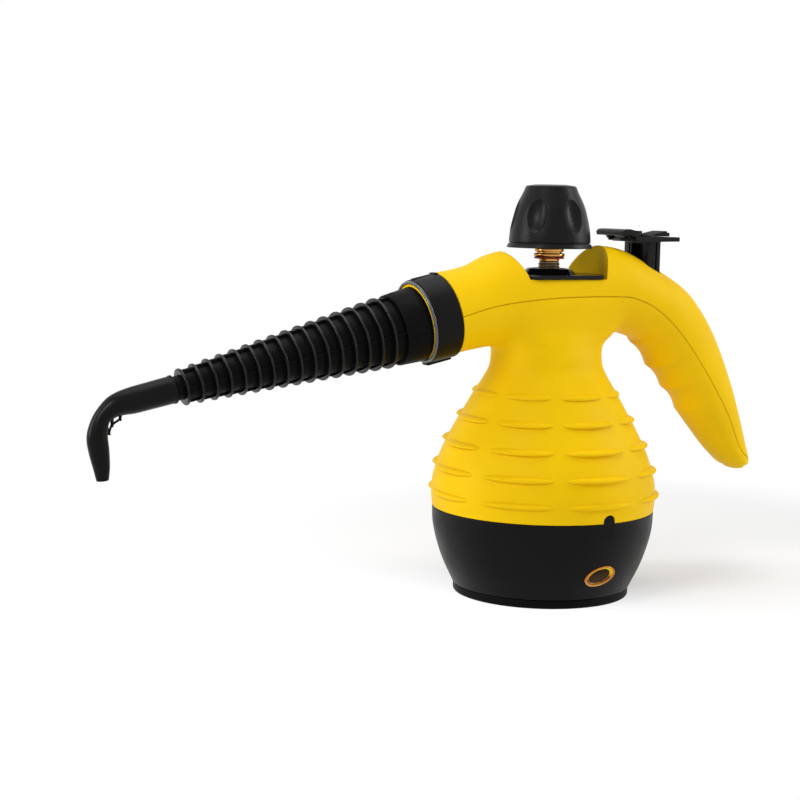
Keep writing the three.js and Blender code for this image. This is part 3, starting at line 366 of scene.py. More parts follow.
def span(tree, source, out, low, high, from_low=0.3, from_high=0.7):
    node = tree.nodes.new("ShaderNodeMapRange")
    node.inputs["From Min"].default_value = from_low
    node.inputs["From Max"].default_value = from_high
    node.inputs["To Min"].default_value = low
    node.inputs["To Max"].default_value = high
    link(tree, source, out, node, "Value")
    return node


def bumps(tree, shader, layers, edge):
    """Bump layers of (noise node, depth in metres), over softly rounded edges."""
    last = tree.nodes.new("ShaderNodeBevel")
    last.samples = 6
    last.inputs["Radius"].default_value = edge * MM
    for node, depth in layers:
        bump = tree.nodes.new("ShaderNodeBump")
        bump.inputs["Strength"].default_value = 1.0
        bump.inputs["Distance"].default_value = depth
        link(tree, node, "Fac", bump, "Height")
        link(tree, last, "Normal", bump, "Normal")
        last = bump
    link(tree, last, "Normal", shader, "Normal")


def plastic(name, dark, light, rough, level, grain, grain_scale, edge=0.3):
    """Moulded plastic: slightly clouded colour, uneven gloss, and a fine grain over a slow wave."""
    material, tree, shader = nodes_of(name)
    colour = ramp(tree, noise(tree, 22, 4), "Fac", [(0.35, dark), (0.68, light)])
    link(tree, colour, "Color", shader, "Base Color")
    gloss = span(tree, noise(tree, 60, 2), "Fac", rough[0], rough[1])
    link(tree, gloss, "Result", shader, "Roughness")
    shader.inputs["Specular IOR Level"].default_value = level
    bumps(tree, shader, [(noise(tree, 95, 1), 0.00003), (noise(tree, grain_scale, 2), grain)], edge)
    return material


def metal(name, dark, light, rough, stretch, scale=900, depth=0.00002):
    material, tree, shader = nodes_of(name)
    shader.inputs["Metallic"].default_value = 1.0
    lines = noise(tree, scale, 3, stretch)
    colour = ramp(tree, noise(tree, 60, 4), "Fac", [(0.35, dark), (0.7, light)])
    link(tree, colour, "Color", shader, "Base Color")
    gloss = span(tree, lines, "Fac", rough[0], rough[1])
    link(tree, gloss, "Result", shader, "Roughness")
    bumps(tree, shader, [(lines, depth)], 0.15)
    return material


def amber_with_painted_light(name, stops, low, high, rough, level, facets):
    """Clear amber with painted light and shade: its colour changes with the height between two places, on
    crystal-like facets.
    """
    material, tree, shader = nodes_of(name)
    place = tree.nodes.new("ShaderNodeTexCoord")
    apart = tree.nodes.new("ShaderNodeSeparateXYZ")
    link(tree, place, "Object", apart, "Vector")
    cells = tree.nodes.new("ShaderNodeTexVoronoi")
    cells.inputs["Scale"].default_value = 700
    link(tree, place, "Object", cells, "Vector")
    # The colour ramp follows the height, which paints light and shade onto the lens
    rise = span(tree, apart, "Z", 0, 1, low * MM, high * MM)
    offset = span(tree, cells, "Distance", -facets, facets, 0, 1)
    total = tree.nodes.new("ShaderNodeMath")
    total.operation = "ADD"
    link(tree, rise, "Result", total, 0)
    link(tree, offset, "Result", total, 1)
    colour = ramp(tree, total, "Value", stops)
    link(tree, colour, "Color", shader, "Base Color")
    gloss = span(tree, cells, "Distance", rough[0], rough[1], 0, 1)
    link(tree, gloss, "Result", shader, "Roughness")
    shader.inputs["Specular IOR Level"].default_value = level
    bumps(tree, shader, [(noise(tree, 500, 2), 0.00003)], 0.1)
    return material


yellow = plastic("yellow_plastic", (0.83, 0.520, 0.0012), (0.89, 0.565, 0.002), (0.44, 0.54), 0.065,
                 0.00003, 2400, 0.8)
satin_black = plastic("satin_black", (0.0024, 0.0022, 0.0023), (0.0046, 0.0040, 0.0041), (0.34, 0.44), 0.10,
                      0.00002, 2400)
gloss_black = plastic("gloss_black", (0.0024, 0.0024, 0.0026), (0.0042, 0.0040, 0.0042), (0.14, 0.22), 0.2,
                      0.00001, 2000, 0.2)
soft_black = plastic("soft_black", (0.0022, 0.0021, 0.0022), (0.0040, 0.0036, 0.0038), (0.26, 0.34), 0.10,
                     0.00002, 2200, 0.3)
matt_black = plastic("matt_black", (0.0012, 0.0012, 0.0013), (0.0024, 0.0022, 0.0023), (0.42, 0.55), 0.06,
                     0.00002, 2000, 0.2)
trigger_black = plastic("trigger_black", (0.0045, 0.0042, 0.0044), (0.008, 0.0074, 0.0077), (0.30, 0.40),
                        0.14, 0.00002, 2200)
# Glossy black plastic whose grey base colour is a painted highlight, lighter than the other blacks, for the
# light band along the collar's front edge
lip_black_painted_highlight = plastic("lip_black_painted_highlight", (0.045, 0.045, 0.050), (0.070, 0.070, 0.075), (0.16, 0.24), 0.7,
                    0.00001, 2000, 0.2)
grained_black = plastic("grained_black", (0.0022, 0.0020, 0.0022), (0.0054, 0.0049, 0.0052), (0.27, 0.35),
                        0.13, 0.00011, 1500, 0.35)
cream = plastic("cream_ceramic", (0.70, 0.64, 0.52), (0.78, 0.72, 0.60), (0.45, 0.6), 0.4, 0.00003, 1600)
red_rubber = plastic("red_rubber", (0.30, 0.020, 0.010), (0.42, 0.032, 0.016), (0.45, 0.6), 0.4,
                     0.00004, 1600)
brass = metal("turned_brass", (0.46, 0.21, 0.05), (0.70, 0.38, 0.11), (0.14, 0.26), (0.05, 0.05, 1.0))
dull_brass = metal("dull_brass", (0.12, 0.085, 0.055), (0.26, 0.19, 0.12), (0.24, 0.4), (0.05, 0.05, 1.0))
steel = metal("drawn_steel", (0.42, 0.42, 0.44), (0.62, 0.62, 0.64), (0.25, 0.4), (1.0, 1.0, 0.08))
alloy = metal("cast_alloy", (0.42, 0.43, 0.45), (0.58, 0.59, 0.61), (0.4, 0.6), (1.0, 1.0, 1.0),
              500, 0.00012)
# The lens colours are the lens's own amber with painted light and shade: lit and shaded bands by height in the
# rim and facets, and painted shade in the window's dark brown
amber_rim_painted_light = amber_with_painted_light("amber_rim_painted_light", [(0.0, (0.70, 0.36, 0.09)), (0.45, (0.60, 0.20, 0.03)),
                                 (1.0, (0.72, 0.27, 0.02))], 13.5, 25.5, (0.1, 0.2), 0.2, 0.1)
amber_facets_painted_light = amber_with_painted_light("amber_facets_painted_light", [(0.0, (0.40, 0.16, 0.02)), (0.35, (0.14, 0.045, 0.006)),
                                       (0.5, (0.80, 0.42, 0.01)), (0.8, (0.98, 0.80, 0.01))],
                      14.5, 24.5, (0.1, 0.2), 0.1, 0.25)
amber_window_painted_shade = amber_with_painted_light("amber_window_painted_shade", [(0.0, (0.07, 0.04, 0.018)), (0.6, (0.045, 0.024, 0.010)),
                                       (1.0, (0.02, 0.01, 0.004))], 14.5, 24.5, (0.2, 0.3), 0.05, 0.2)

looks = {"yellow_plastic": yellow, "black_plastic": satin_black, "grained_plastic": grained_black,
         "cream_plastic": cream, "lens_amber": amber_rim_painted_light, "brass": brass, "steel": steel,
         "cast_alloy": alloy, "seal_rubber": red_rubber}
for part in frame["record"]["subparts"]:
    node = frame["nodes"].get(part["node"])
    if node and part["material_slot"] in looks:
        for place in node.material_slots:
            place.material = looks[part["material_slot"]]

# Housing

FLASK_SHARES = [(0, 0.975), (0.1, 1), (0.2, 0.971), (0.32, 0.879), (0.44, 0.742), (0.56, 0.573),
                (0.67, 0.401), (0.78, 0.242), (0.88, 0.108), (0.95, 0.024), (1, 0)]
FLARE_SHARES = [(0.065, 1.0, 0.96), (0.13, 1.02, 0.92), (0.19, 1.08, 0.9), (0.24, 1.15, 0.88),
                (0.5, 1.2, 0.86)]


def flask_rows():
    """Rows of height, half length and half width, from the seam up into the horn."""
    rows = []
    for rise, swell in FLASK_SHARES:
        half = NECK_LONG + (FLASK_RADIUS - NECK_LONG) * swell
        flatten = min(max(1 - swell / 0.3, 0), 1) ** 1.5
        rows.append((SEAM + rise * (NECK - SEAM), half, half + (NECK_WIDE - half) * flatten))
    for rise, longer, narrower in FLARE_SHARES:
        rows.append((NECK + rise * (HORN_TOP - NECK), NECK_LONG * longer, NECK_WIDE * narrower))
    return catmull(rows, 1500)


FLASK = flask_rows()
FLASK_TOP = 170
# The scene's pieces stay inside the CAD's box
HALF_WIDTH, HANDLE_REACH = 67.05, 147.15
# Eight ribs in each of five rows, with the span and the step in degrees
RIB_FIRST, RIB_PITCH, RIB_THICK, RIB_SPAN, RIB_STEP = 60.2, 14.6, 3.3, 38.0, 45
RIB_PROUD = np.array([2.4, 3.1, 3.3, 2.8, 1.9])
RIB_LEVELS = np.sin(np.linspace(-math.pi / 2, math.pi / 2, 11))


def rib_shape(turn):
    """The half height of the ribs, and how far they stand out, in each direction round the flask."""
    along = (np.degrees(turn) + RIB_STEP / 2) % RIB_STEP - RIB_STEP / 2
    inside = np.clip(1 - np.abs(along / (RIB_SPAN / 2)) ** 2.6, 0, 1)
    return RIB_THICK / 2 * inside ** 0.4 + 0.02, inside ** 0.75


def flask_ring(turn, heights, out):
    """Points round the flask, each at its own height and so far out from the wall."""
    long, wide = (np.interp(heights, FLASK[:, 0], FLASK[:, column]) for column in (1, 2))
    return np.stack([(long + out) * np.cos(turn), (wide + out) * np.sin(turn), heights + 0 * turn], 1)


def plain_flask(name, inset, columns, rows):
    turn = np.linspace(0, 2 * math.pi, columns, endpoint=False)
    heights = np.linspace(SEAM - 5, FLASK_TOP, rows)
    return lofted(name, [flask_ring(turn, z + 0 * turn, -inset) for z in heights])


def ribbed_flask(name, columns):
    """The flask, with rows of points that follow the ribs."""
    turn = np.linspace(0, 2 * math.pi, columns, endpoint=False)
    half, share = rib_shape(turn)
    rings = []
    low = SEAM + 0 * turn
    for k, proud in enumerate(RIB_PROUD):
        centre = RIB_FIRST + k * RIB_PITCH
        for t in np.linspace(0, 1, 12, endpoint=False):
            rings.append(flask_ring(turn, low + (centre - half - low) * t, 0))
        for t in RIB_LEVELS:
            ring = flask_ring(turn, centre + half * t, proud * share * math.sqrt(1 - t * t))
            ring[:, 1] = np.clip(ring[:, 1], -HALF_WIDTH, HALF_WIDTH)
            rings.append(ring)
        low = centre + half
    for t in np.linspace(0, 1, 40)[1:]:
        rings.append(flask_ring(turn, low + (FLASK_TOP - low) * t, 0))
    return lofted(name, rings)


HORN_SHARES = [
    (-0.376, 0.941, -0.348, 0.708, 0.98), (-0.261, 0.976, -0.251, 0.716, 0.98),
    (-0.102, 0.996, -0.102, 0.712, 0.99), (0.081, 1.002, 0.061, 0.714, 1.00),
    (0.210, 1.0015, 0.195, 0.730, 1.00), (0.312, 0.992, 0.286, 0.751, 0.99),
    (0.406, 0.965, 0.353, 0.742, 0.97), (0.527, 0.921, 0.409, 0.727, 0.95),
    (0.629, 0.877, 0.435, 0.700, 0.92), (0.705, 0.822, 0.468, 0.670, 0.89),
    (0.772, 0.755, 0.527, 0.618, 0.85), (0.831, 0.675, 0.601, 0.556, 0.81),
    (0.886, 0.586, 0.666, 0.499, 0.76), (0.932, 0.498, 0.729, 0.447, 0.69),
    (0.968, 0.420, 0.798, 0.392, 0.61), (0.9995, 0.348, 0.871, 0.345, 0.50),
    (0.983, 0.329, 0.908, 0.331, 0.32)]


def snout_point(along, up):
    """X and Z of a place in the snout's own frame."""
    tilt = math.radians(TILT)
    return (-along * math.cos(tilt) - up * math.sin(tilt),
            NOZZLE_Z - along * math.sin(tilt) + up * math.cos(tilt))


def horn_rows(count):
    """Rows of the top point, the bottom point and the half width, from the snout to the handle's end."""
    rows = [(*snout_point(SNOUT_REACH, SNOUT_RADIUS), *snout_point(SNOUT_REACH, 1.6 - SNOUT_RADIUS),
             SNOUT_RADIUS)]
    rows += [(a * REACH, b * HORN_TOP, c * REACH, d * HORN_TOP, e * HORN_WIDE)
             for a, b, c, d, e in HORN_SHARES]
    return catmull(rows, count)


GRIP_PITCH, GRIP_DEPTH, GRIP_START, GRIP_COUNT = 17.6, 1.9, 144.5, 3


def horn_solid(name, inset, count, sides, fine):
    """The horn from the snout to the handle's end, with the finger grooves where it is fine."""
    rows = horn_rows(count)
    turn = np.linspace(0, 2 * math.pi, sides, endpoint=False)
    bottoms = rows[:, 2:4]
    below = (bottoms[:, 0] > 0) & (rows[:, 0] > REACH / 2) & (bottoms[:, 1] < GRIP_START)
    start = bottoms[np.where(below)[0][0]]
    rings = []
    for k, (tx, tz, bx, bz, wide) in enumerate(rows):
        top, bottom = np.array([tx, 0, tz]), np.array([bx, 0, bz])
        centre = (top + bottom) / 2
        reach = np.linalg.norm(top - centre)
        up = (top - centre) / reach
        ring = (centre + np.cos(turn)[:, None] * up * (reach - inset)
                + np.sin(turn)[:, None] * np.array([0, 1, 0]) * (wide - inset))
        travelled = math.hypot(bx - start[0], bz - start[1])
        if fine and bx > start[0] and bz < start[1] and travelled < GRIP_COUNT * GRIP_PITCH:
            dip = GRIP_DEPTH * abs(math.sin(math.pi * travelled / GRIP_PITCH)) ** 0.8
            facing = np.clip(-np.cos(turn) * 1.15 + 0.1, 0, 1) ** 0.8
            ring += dip * facing[:, None] * up
        if inset and k == len(rows) - 1:
            ring += np.array([-inset / 2, 0, 1.5 * inset])
        ring[:, 0] = np.minimum(ring[:, 0], HANDLE_REACH)
        rings.append(ring)
    if fine and not inset:
        # The handle ends in a dome
        last, centre = rings[-1], rings[-1].mean(0)
        step = centre - rings[-3].mean(0)
        step /= np.linalg.norm(step)
        for share in (0.2, 0.4, 0.6, 0.8, 0.93):
            rings.append(centre + (last - centre) * math.sqrt(1 - share ** 2) + step * 2.0 * share)
    return lofted(name, rings)


BLEND_FROM, BLEND_SIDE = 118, 95


def blended(obj, first, second, reach):
    """Rounds the inner corner between two joined forms, by a smooth minimum of their distances."""
    trees = []
    for part in (first, second):
        part.data.calc_loop_triangles()
        trees.append(BVHTree.FromPolygons([v.co / MM for v in part.data.vertices],
                                          [tuple(t.vertices) for t in part.data.loop_triangles]))
    points = vertices(obj)
    index = np.where((points[:, 2] > BLEND_FROM) & (np.abs(points[:, 0]) < BLEND_SIDE))[0]
    for _ in range(5):
        for i in index:
            p = Vector(points[i])
            (a, na, _, _), (b, nb, _, _) = trees[0].find_nearest(p), trees[1].find_nearest(p)
            da = math.copysign((p - a).length, (p - a).dot(na))
            db = math.copysign((p - b).length, (p - b).dot(nb))
            size = reach(p)
            apart = abs(da - db)
            if apart >= size:
                continue
            h = (size - apart) / size
            value = min(da, db) - h * h * size / 4
            if abs(value) < 0.01:
                continue
            near_normal, far_normal = (na, nb) if da < db else (nb, na)
            slope = near_normal * (1 - h / 2) + far_normal * (h / 2)
            length = max(slope.length, 0.35)
            points[i] -= np.array(slope / length) * min(max(value / length, -2), 2)
    set_vertices(obj, points)


PARTING = [(x * REACH, z * HORN_TOP) for x, z in [
    (-0.716, 0.755), (-0.457, 0.810), (-0.289, 0.839), (-0.046, 0.856), (0.236, 0.858), (0.323, 0.849),
    (0.405, 0.825), (0.488, 0.785), (0.575, 0.726), (0.677, 0.639), (0.762, 0.557), (0.831, 0.484),
    (0.882, 0.416), (0.921, 0.380), (0.957, 0.362), (1.125, 0.300)]]


def above(lift):
    """Everything over the parting line, which is lifted by a distance."""
    line = catmull(PARTING, 160)
    run = np.gradient(line, axis=0)
    run /= np.linalg.norm(run, axis=1)[:, None]
    line = line + lift * np.stack([-run[:, 1], run[:, 0]], 1)
    outline = [(-2 * REACH, line[0, 1]), *map(tuple, line), (2 * REACH, line[-1, 1]),
               (2 * REACH, 2 * HORN_TOP), (-2 * REACH, 2 * HORN_TOP)]
    return plank("above", outline, -60, 60)


# PART_LINE is half of the gap at the parting line, and OVER_ALL is a height over every piece
PART_LINE, TONGUE, OVER_ALL = 0.2, 2.2, 260
flask_outer = ribbed_flask("flask_outer", 288)
horn_outer = horn_solid("horn_outer", 0, 230, 96, True)
housing = union(copy(flask_outer, "housing"), copy(horn_outer, "horn_copy"))
blended(housing, flask_outer, horn_outer, lambda p: 5.0 + 5.0 * min(max(p.x, 0) / 30, 1))
discard(flask_outer)
discard(horn_outer)

hollow = union(plain_flask("flask_inner", WALL, 48, 60), horn_solid("horn_inner", WALL, 40, 32, False))
cut(hollow, moved(drum("pocket_cup", POCKET_RADIUS + WALL, POCKET_FLOOR - WALL, OVER_ALL, 96), shift(POCKET_X)),
    moved(drum("bulkhead", 60, SNOUT_REACH - WALL, 160, 24), SNOUT))
# The lower moulding has a tongue along the parting line, and the upper one a rebate for it
tongue = cut(horn_solid("tongue", 0.5, 160, 64, True), copy(hollow, "hollow_copy"), above(TONGUE))
boolean(tongue, above(-0.6), "INTERSECT")
rebate = cut(horn_solid("rebate", 0.38, 160, 64, True), above(TONGUE + GAP))
spigot = moved(turned("spigot", round_section([
    (20.1, SNOUT_REACH - 1.25), (21.6, SNOUT_REACH - 1.25), (21.6, 88.4), (20.1, 88.4)], 0.4), 96), SNOUT)
union(housing, spigot)
cut(housing, hollow)
pocket = moved(drum("pocket", POCKET_RADIUS, POCKET_FLOOR, OVER_ALL, 160), shift(POCKET_X))
cut(housing, shortened(pocket, 0.965), moved(drum("jet_hole", 5.3, 0, 76, 32), SNOUT))

cover = copy(housing, "upper_moulding")
body = housing
body.name = "lower_moulding"
cut(body, above(-PART_LINE))
union(body, tongue)
boolean(cover, above(PART_LINE), "INTERSECT")
cut(cover, rebate)
VALVE_X, POST_LONG, POST_WIDE = 65.1, 4.5, 12.4
SLOT_LONG, SLOT_WIDE = POST_LONG + GAP, POST_WIDE + GAP
cut(cover, drum("filler_hole", 10.2, 179, 190, 48),
    slab("slot", (VALVE_X - SLOT_LONG, -SLOT_WIDE, 169), (VALVE_X + SLOT_LONG, SLOT_WIDE, 206), 0))
TAB_X, TAB_HALF, TAB_TOP = 4.0, 3.55, SEAM + 4.5


def upright(name, half, foot, head, radius, low, high):
    """An upright strip with rounded ends at the tab's place, drawn through Y between two places."""
    outline = round_section([(-half, foot), (-half, head), (half, head), (half, foot)], radius, 10)
    return moved(plank(name, outline, low, high), shift(TAB_X))


# Arch in the lower edge, where the base's tab stands up
cut(body, upright("arch", TAB_HALF + GAP, SEAM - 8, TAB_TOP + GAP, 3.8, -FLASK_RADIUS - 8, -FLASK_RADIUS + 8))
for piece, node in ((body, "body_shell"), (cover, "top_cover")):
    shade(piece, 38)
    finish(piece, "housing", yellow, "yellow_plastic", node)

# Base

BASE_LOW, BASE_HIGH = 5.0, SEAM - GAP
base_line = catmull([(share * FLASK_RADIUS, BASE_LOW + rise * (BASE_HIGH - BASE_LOW)) for rise, share in
                     [(0, 0.79), (0.28, 0.882), (0.53, 0.942), (0.77, 0.979), (1, 0.988)]], 48)


def base_radius(z):
    return float(np.interp(z, base_line[:, 1], base_line[:, 0]))


lip = base_line[-1, 0]
bowl = turned("base_bowl", [
    (33, BASE_LOW), *rounded([(40, BASE_LOW), (base_line[0, 0], BASE_LOW), tuple(base_line[2])], 0.7)[1:-1],
    *base_line[2:-1], *rounded([tuple(base_line[-2]), (lip, BASE_HIGH), (lip - 2.4, BASE_HIGH)], 0.5)[1:-1],
    (lip - WALL - GAP, BASE_HIGH), (lip - WALL - GAP, BASE_HIGH + 4.9), (lip - 4.2, BASE_HIGH + 4.9),
    (base_radius(40) - 3.75, 40), (base_radius(18) - 3.75, 18), (base_radius(8) - 2.6, 7.5), (33, 7.5)], 160)
SCREW_CIRCLE, SCREW_HOLE = 38, 1.9
CORNERS = [(SCREW_CIRCLE * math.cos(a), SCREW_CIRCLE * math.sin(a)) for a in np.radians([45, 135, 225, 315])]
for x, y in CORNERS:
    union(bowl, moved(drum("boss", 4.4, BASE_LOW, 19, 24, SCREW_HOLE), shift(x, y)))
    cut(bowl, moved(drum("hole", SCREW_HOLE, 0, 50, 16), shift(x, y)))
union(bowl, upright("tab", TAB_HALF, BASE_HIGH - 8, TAB_TOP, 3.5, -lip + 0.25, -lip + 2.6))

LENS_X, LENS_Z, LENS_WIDE, LENS_HIGH, LENS_TILT = 3.0, 19.3, 19.4, 12.2, 15.0
lean = math.atan2(base_radius(LENS_Z + 5) - base_radius(LENS_Z - 5), 10)
LENS = (shift(LENS_X, -base_radius(LENS_Z), LENS_Z) @ Matrix.Rotation(lean, 4, "X")
        @ Matrix.Rotation(-math.radians(LENS_TILT), 4, "Y") @ Matrix.Rotation(math.radians(90), 4, "X")
        @ Matrix.Diagonal((LENS_WIDE / 2, LENS_HIGH / 2, 1, 1)))
CORD_Z, CORD_RADIUS, CORD_BORE = 17, 7, 3.6
TO_THE_BACK = Matrix.Rotation(math.radians(90), 4, "Y")
cut(bowl, moved(drum("lens_hole", 1.012, -12, 8, 64), LENS),
    moved(drum("cord_hole", CORD_RADIUS + GAP, 0, 120, 48), shift(z=CORD_Z) @ TO_THE_BACK))
shade(bowl, 38)
finish(bowl, "housing", satin_black, "black_plastic", "base_shell")

FOOT, FOOT_TOP = 51.6, BASE_LOW - GAP
foot_side = rounded([(0, 0), (FOOT - 0.5, 0, 0.3), (FOOT, 0.8, 0.4), (FOOT, FOOT_TOP), (40, FOOT_TOP)], 0.5)
plate = turned("foot_plate", [(0, 0), *foot_side[1:-1], (0, FOOT_TOP)], 160)
for x, y in CORNERS:
    sunk = turned("hole", [(0, -3), (3.7, -3), (3.7, 2.5), (SCREW_HOLE, 2.5), (SCREW_HOLE, 8), (0, 8)], 32)
    cut(plate, moved(sunk, shift(x, y)))
shade(plate, 30)
finish(plate, "housing", matt_black, "black_plastic", "bottom_plate")

for k, (x, y) in enumerate(CORNERS):
    screw = turned(f"base_screw_head_{k + 1}", [
        (0, 0.3), *rounded([(0, 0.3), (3.4, 0.3), (3.4, 2.2), (1.6, 2.2)], 0.4)[1:-1], (1.6, 2.2), (1.6, 14),
        (0, 14)], 32)
    for turn in (0, math.pi / 2):
        cut(screw, moved(slab("cross", (-2.1, -0.35, -1), (2.1, 0.35, 1.3), 0), about_z(turn + 0.4 * k)))
    shade(screw)
    finish(moved(screw, shift(x, y)), "housing", steel, "steel", f"base_screw_{k + 1}")

# The lens's radii are shares of its half width and half height
lens_rim = turned("lens_rim", [
    (0.86, -2.3), (0.988, -2.3), (0.988, 0.2), (0.975, 0.5), (0.95, 0.6), (0.90, 0.5), (0.86, 0.2)], 64)
finish(moved(lens_rim, LENS), "housing", amber_rim_painted_light, "lens_amber", "indicator_lens")
lens_facets = turned("lens_facets", [
    (0.70, -2.2), (0.86, -2.2), (0.86, 0.18), (0.80, -0.1), (0.76, -0.2), (0.70, -0.8)], 34, 5)
finish(moved(lens_facets, LENS), "housing", amber_facets_painted_light, "lens_amber")
lens_pane = turned("lens_pane", [
    (0, -2.2), (0.70, -2.2), (0.70, -0.85), (0.5, -0.6), (0.25, -0.45), (0, -0.4)], 48)
finish(moved(lens_pane, LENS), "housing", amber_window_painted_shade, "lens_amber")

FLANGE_INNER, FLANGE_OUTER, FLANGE_RADIUS = 11.3, 13.3, 9.5
GLAND_X = FLASK_RADIUS * 0.942 - WALL - 10
flange = rounded([(CORD_RADIUS, FLANGE_INNER), (FLANGE_RADIUS, FLANGE_INNER), (FLANGE_RADIUS, FLANGE_OUTER),
                  (CORD_BORE, FLANGE_OUTER)], 0.8)[1:-1]
gland = turned("cord_bushing", [(CORD_BORE, 0), (CORD_RADIUS, 0), *flange, (CORD_BORE, FLANGE_OUTER)], 64)
moved(gland, shift(GLAND_X, 0, CORD_Z) @ TO_THE_BACK)
finish(gland, "housing", satin_black, "black_plastic", "cord_gland")

# Filler plate, cap, stem

PLATE_LOW, PLATE_RADIUS, PLATE_HALF = POCKET_FLOOR + GAP, 32.5, 23.8
PLATE_HIGH, PLATE_FOOT, PLATE_RIM = PLATE_LOW + 2.1, 16.5, 190.1
funnel = moved(turned("pocket_plate", [
    (0, PLATE_LOW), (PLATE_RADIUS, PLATE_LOW), (PLATE_RADIUS, PLATE_LOW + 1.7),
    (PLATE_RADIUS - 0.4, PLATE_HIGH), (0, PLATE_HIGH)], 128), shift(POCKET_X))
shortened(funnel, 0.955)
boolean(funnel, slab("trim", (-60, -PLATE_HALF, 150), (60, PLATE_HALF, 220), 0), "INTERSECT")
collar_side = rounded([
    (PLATE_FOOT, PLATE_LOW), (PLATE_FOOT, PLATE_HIGH), (12.4, PLATE_RIM, 0.5), (0, PLATE_RIM)], 0.3)
union(funnel, turned("plate_collar", [
    (0, PLATE_LOW), (PLATE_FOOT, PLATE_LOW), *collar_side[1:-1], (0, PLATE_RIM)], 96))
cut(funnel, drum("plate_bore", 10.4, 180, 195, 64))
shade(funnel, 30)
finish(funnel, "housing", gloss_black, "black_plastic", "filler_funnel")

CAP_LOW, CAP_HIGH, CAP_RIM, CAP_SKIRT, CAP_TOP = 201.8, 238.3, 24.9, 23.7, 14.3
CAP_SHARES = [(0.1, 0), (0.15, 0.01), (0.27, 0.06), (0.41, 0.15), (0.6, 0.33), (0.74, 0.56), (0.88, 0.83)]
side = catmull([(CAP_SKIRT - inward * (CAP_SKIRT - CAP_TOP), CAP_LOW + rise * (CAP_HIGH - CAP_LOW))
                for rise, inward in CAP_SHARES], 40)
crown = rounded([tuple(side[-1]), (14.5, CAP_HIGH - 0.9, 1.3), (9, CAP_HIGH - 0.1, 4), (0, CAP_HIGH)], 2)
cap = turned("cap_grip", [
    (CAP_SKIRT - 3.8, CAP_LOW), *rounded([
        (CAP_SKIRT - 3.8, CAP_LOW), (CAP_RIM, CAP_LOW, 0.35), (CAP_RIM - 0.15, CAP_LOW + 0.7, 0.3),
        (CAP_SKIRT + 0.35, CAP_LOW + 2.4, 0.35), (CAP_SKIRT - 0.45, CAP_LOW + 2.65, 0.1),
        (CAP_SKIRT - 0.45, CAP_LOW + 3.05, 0.1), (CAP_SKIRT, CAP_LOW + 3.3, 0.2), tuple(side[2])], 0.4)[1:-1],
    *side[2:], *crown[1:-1],
    (0, CAP_HIGH), (0, 224.3), (7.7, 224.3), (7.7, 204.8), (10.2, 204.8), (10.2, 234.0), (12.5, 233.0),
    (16.4, 222), (19.2, 208), (CAP_SKIRT - 3.8, 205)], 144)
DIMPLES, DIMPLE_WIDE, DIMPLE_HIGH, DIMPLE_DEEP, DIMPLE_Z, DIMPLE_TURN = 6, 13.6, 22.3, 3.2, 221.5, 37.4
cap_lean = math.atan2(CAP_SKIRT - CAP_TOP, CAP_HIGH - CAP_LOW)
# Each dimple is cut by an ellipsoid with its middle outside the cap; clip is its share of width at the surface
deep = 2 * DIMPLE_DEEP
clip = math.sqrt(1 - ((deep - DIMPLE_DEEP) / deep) ** 2)
surface = float(np.interp(DIMPLE_Z, side[:, 1], side[:, 0]))
for k in range(DIMPLES):
    ball = turned("ball", [(math.sin(t), -math.cos(t)) for t in np.linspace(0, math.pi, 25)], 64)
    moved(ball, Matrix.Diagonal((deep, DIMPLE_WIDE / 2 / clip, DIMPLE_HIGH / 2 / clip, 1)))
    moved(ball, shift(x=surface + deep - DIMPLE_DEEP, z=DIMPLE_Z) @ Matrix.Rotation(-cap_lean, 4, "Y"))
    cut(cap, moved(ball, about_z(math.pi + math.radians(DIMPLE_TURN) + 2 * math.pi * k / DIMPLES)))
shade(cap, 18)
finish(cap, "cap", grained_black, "grained_plastic", "cap_shell")

# The stem's heights are measured from the foot of the gasket, which lies under the lower disc
GASKET, THREAD_PITCH, STEM_BORE = 195.6, 1.5, 2.0
thread = []
for z in np.arange(185.9, GASKET - 2.2, THREAD_PITCH):
    thread += [(5.75, z), (6.3, z + 0.45), (6.3, z + 0.75), (5.75, z + 1.2)]
screw = turned("cap_thread", [(STEM_BORE, 183.6), (5.6, 183.6), (6.2, 184.4), *thread, (5.75, GASKET - 1.7),
                              (5.1, GASKET - 1.5), (STEM_BORE, GASKET - 1.5)], 72)
finish(screw, "cap", dull_brass, "brass")


def stem_disc(inner, radius, outer, low, high, edge):
    low, high = GASKET + low, GASKET + high
    return rounded([(inner, low), (radius, low), (radius, high), (outer, high)], edge)[1:-1]


stem = turned("cap_stem_turned", [
    (STEM_BORE, GASKET - 1.5), (5.1, GASKET - 1.5), (5.9, GASKET - 1.2), (5.9, GASKET + 1.2),
    *stem_disc(5.9, 8.95, 7.6, 1.2, 3.2, 0.6), (7.3, GASKET + 3.3), (7.3, GASKET + 4.0),
    *stem_disc(7.3, 8.45, 7.7, 4.0, 6.2, 0.45), (7.4, GASKET + 6.3), (7.4, 224.0), (4.6, 224.0),
    (4.6, 203.5), (STEM_BORE, 203.5)], 72)
finish(stem, "cap", brass, "brass", "cap_stem")
ring = turned("cap_ring", round_section([
    (6.2, GASKET), (8.75, GASKET), (8.75, GASKET + 1), (6.2, GASKET + 1)], 0.4), 72)
finish(ring, "cap_seal", red_rubber, "seal_rubber", "cap_gasket")

# Steam trigger

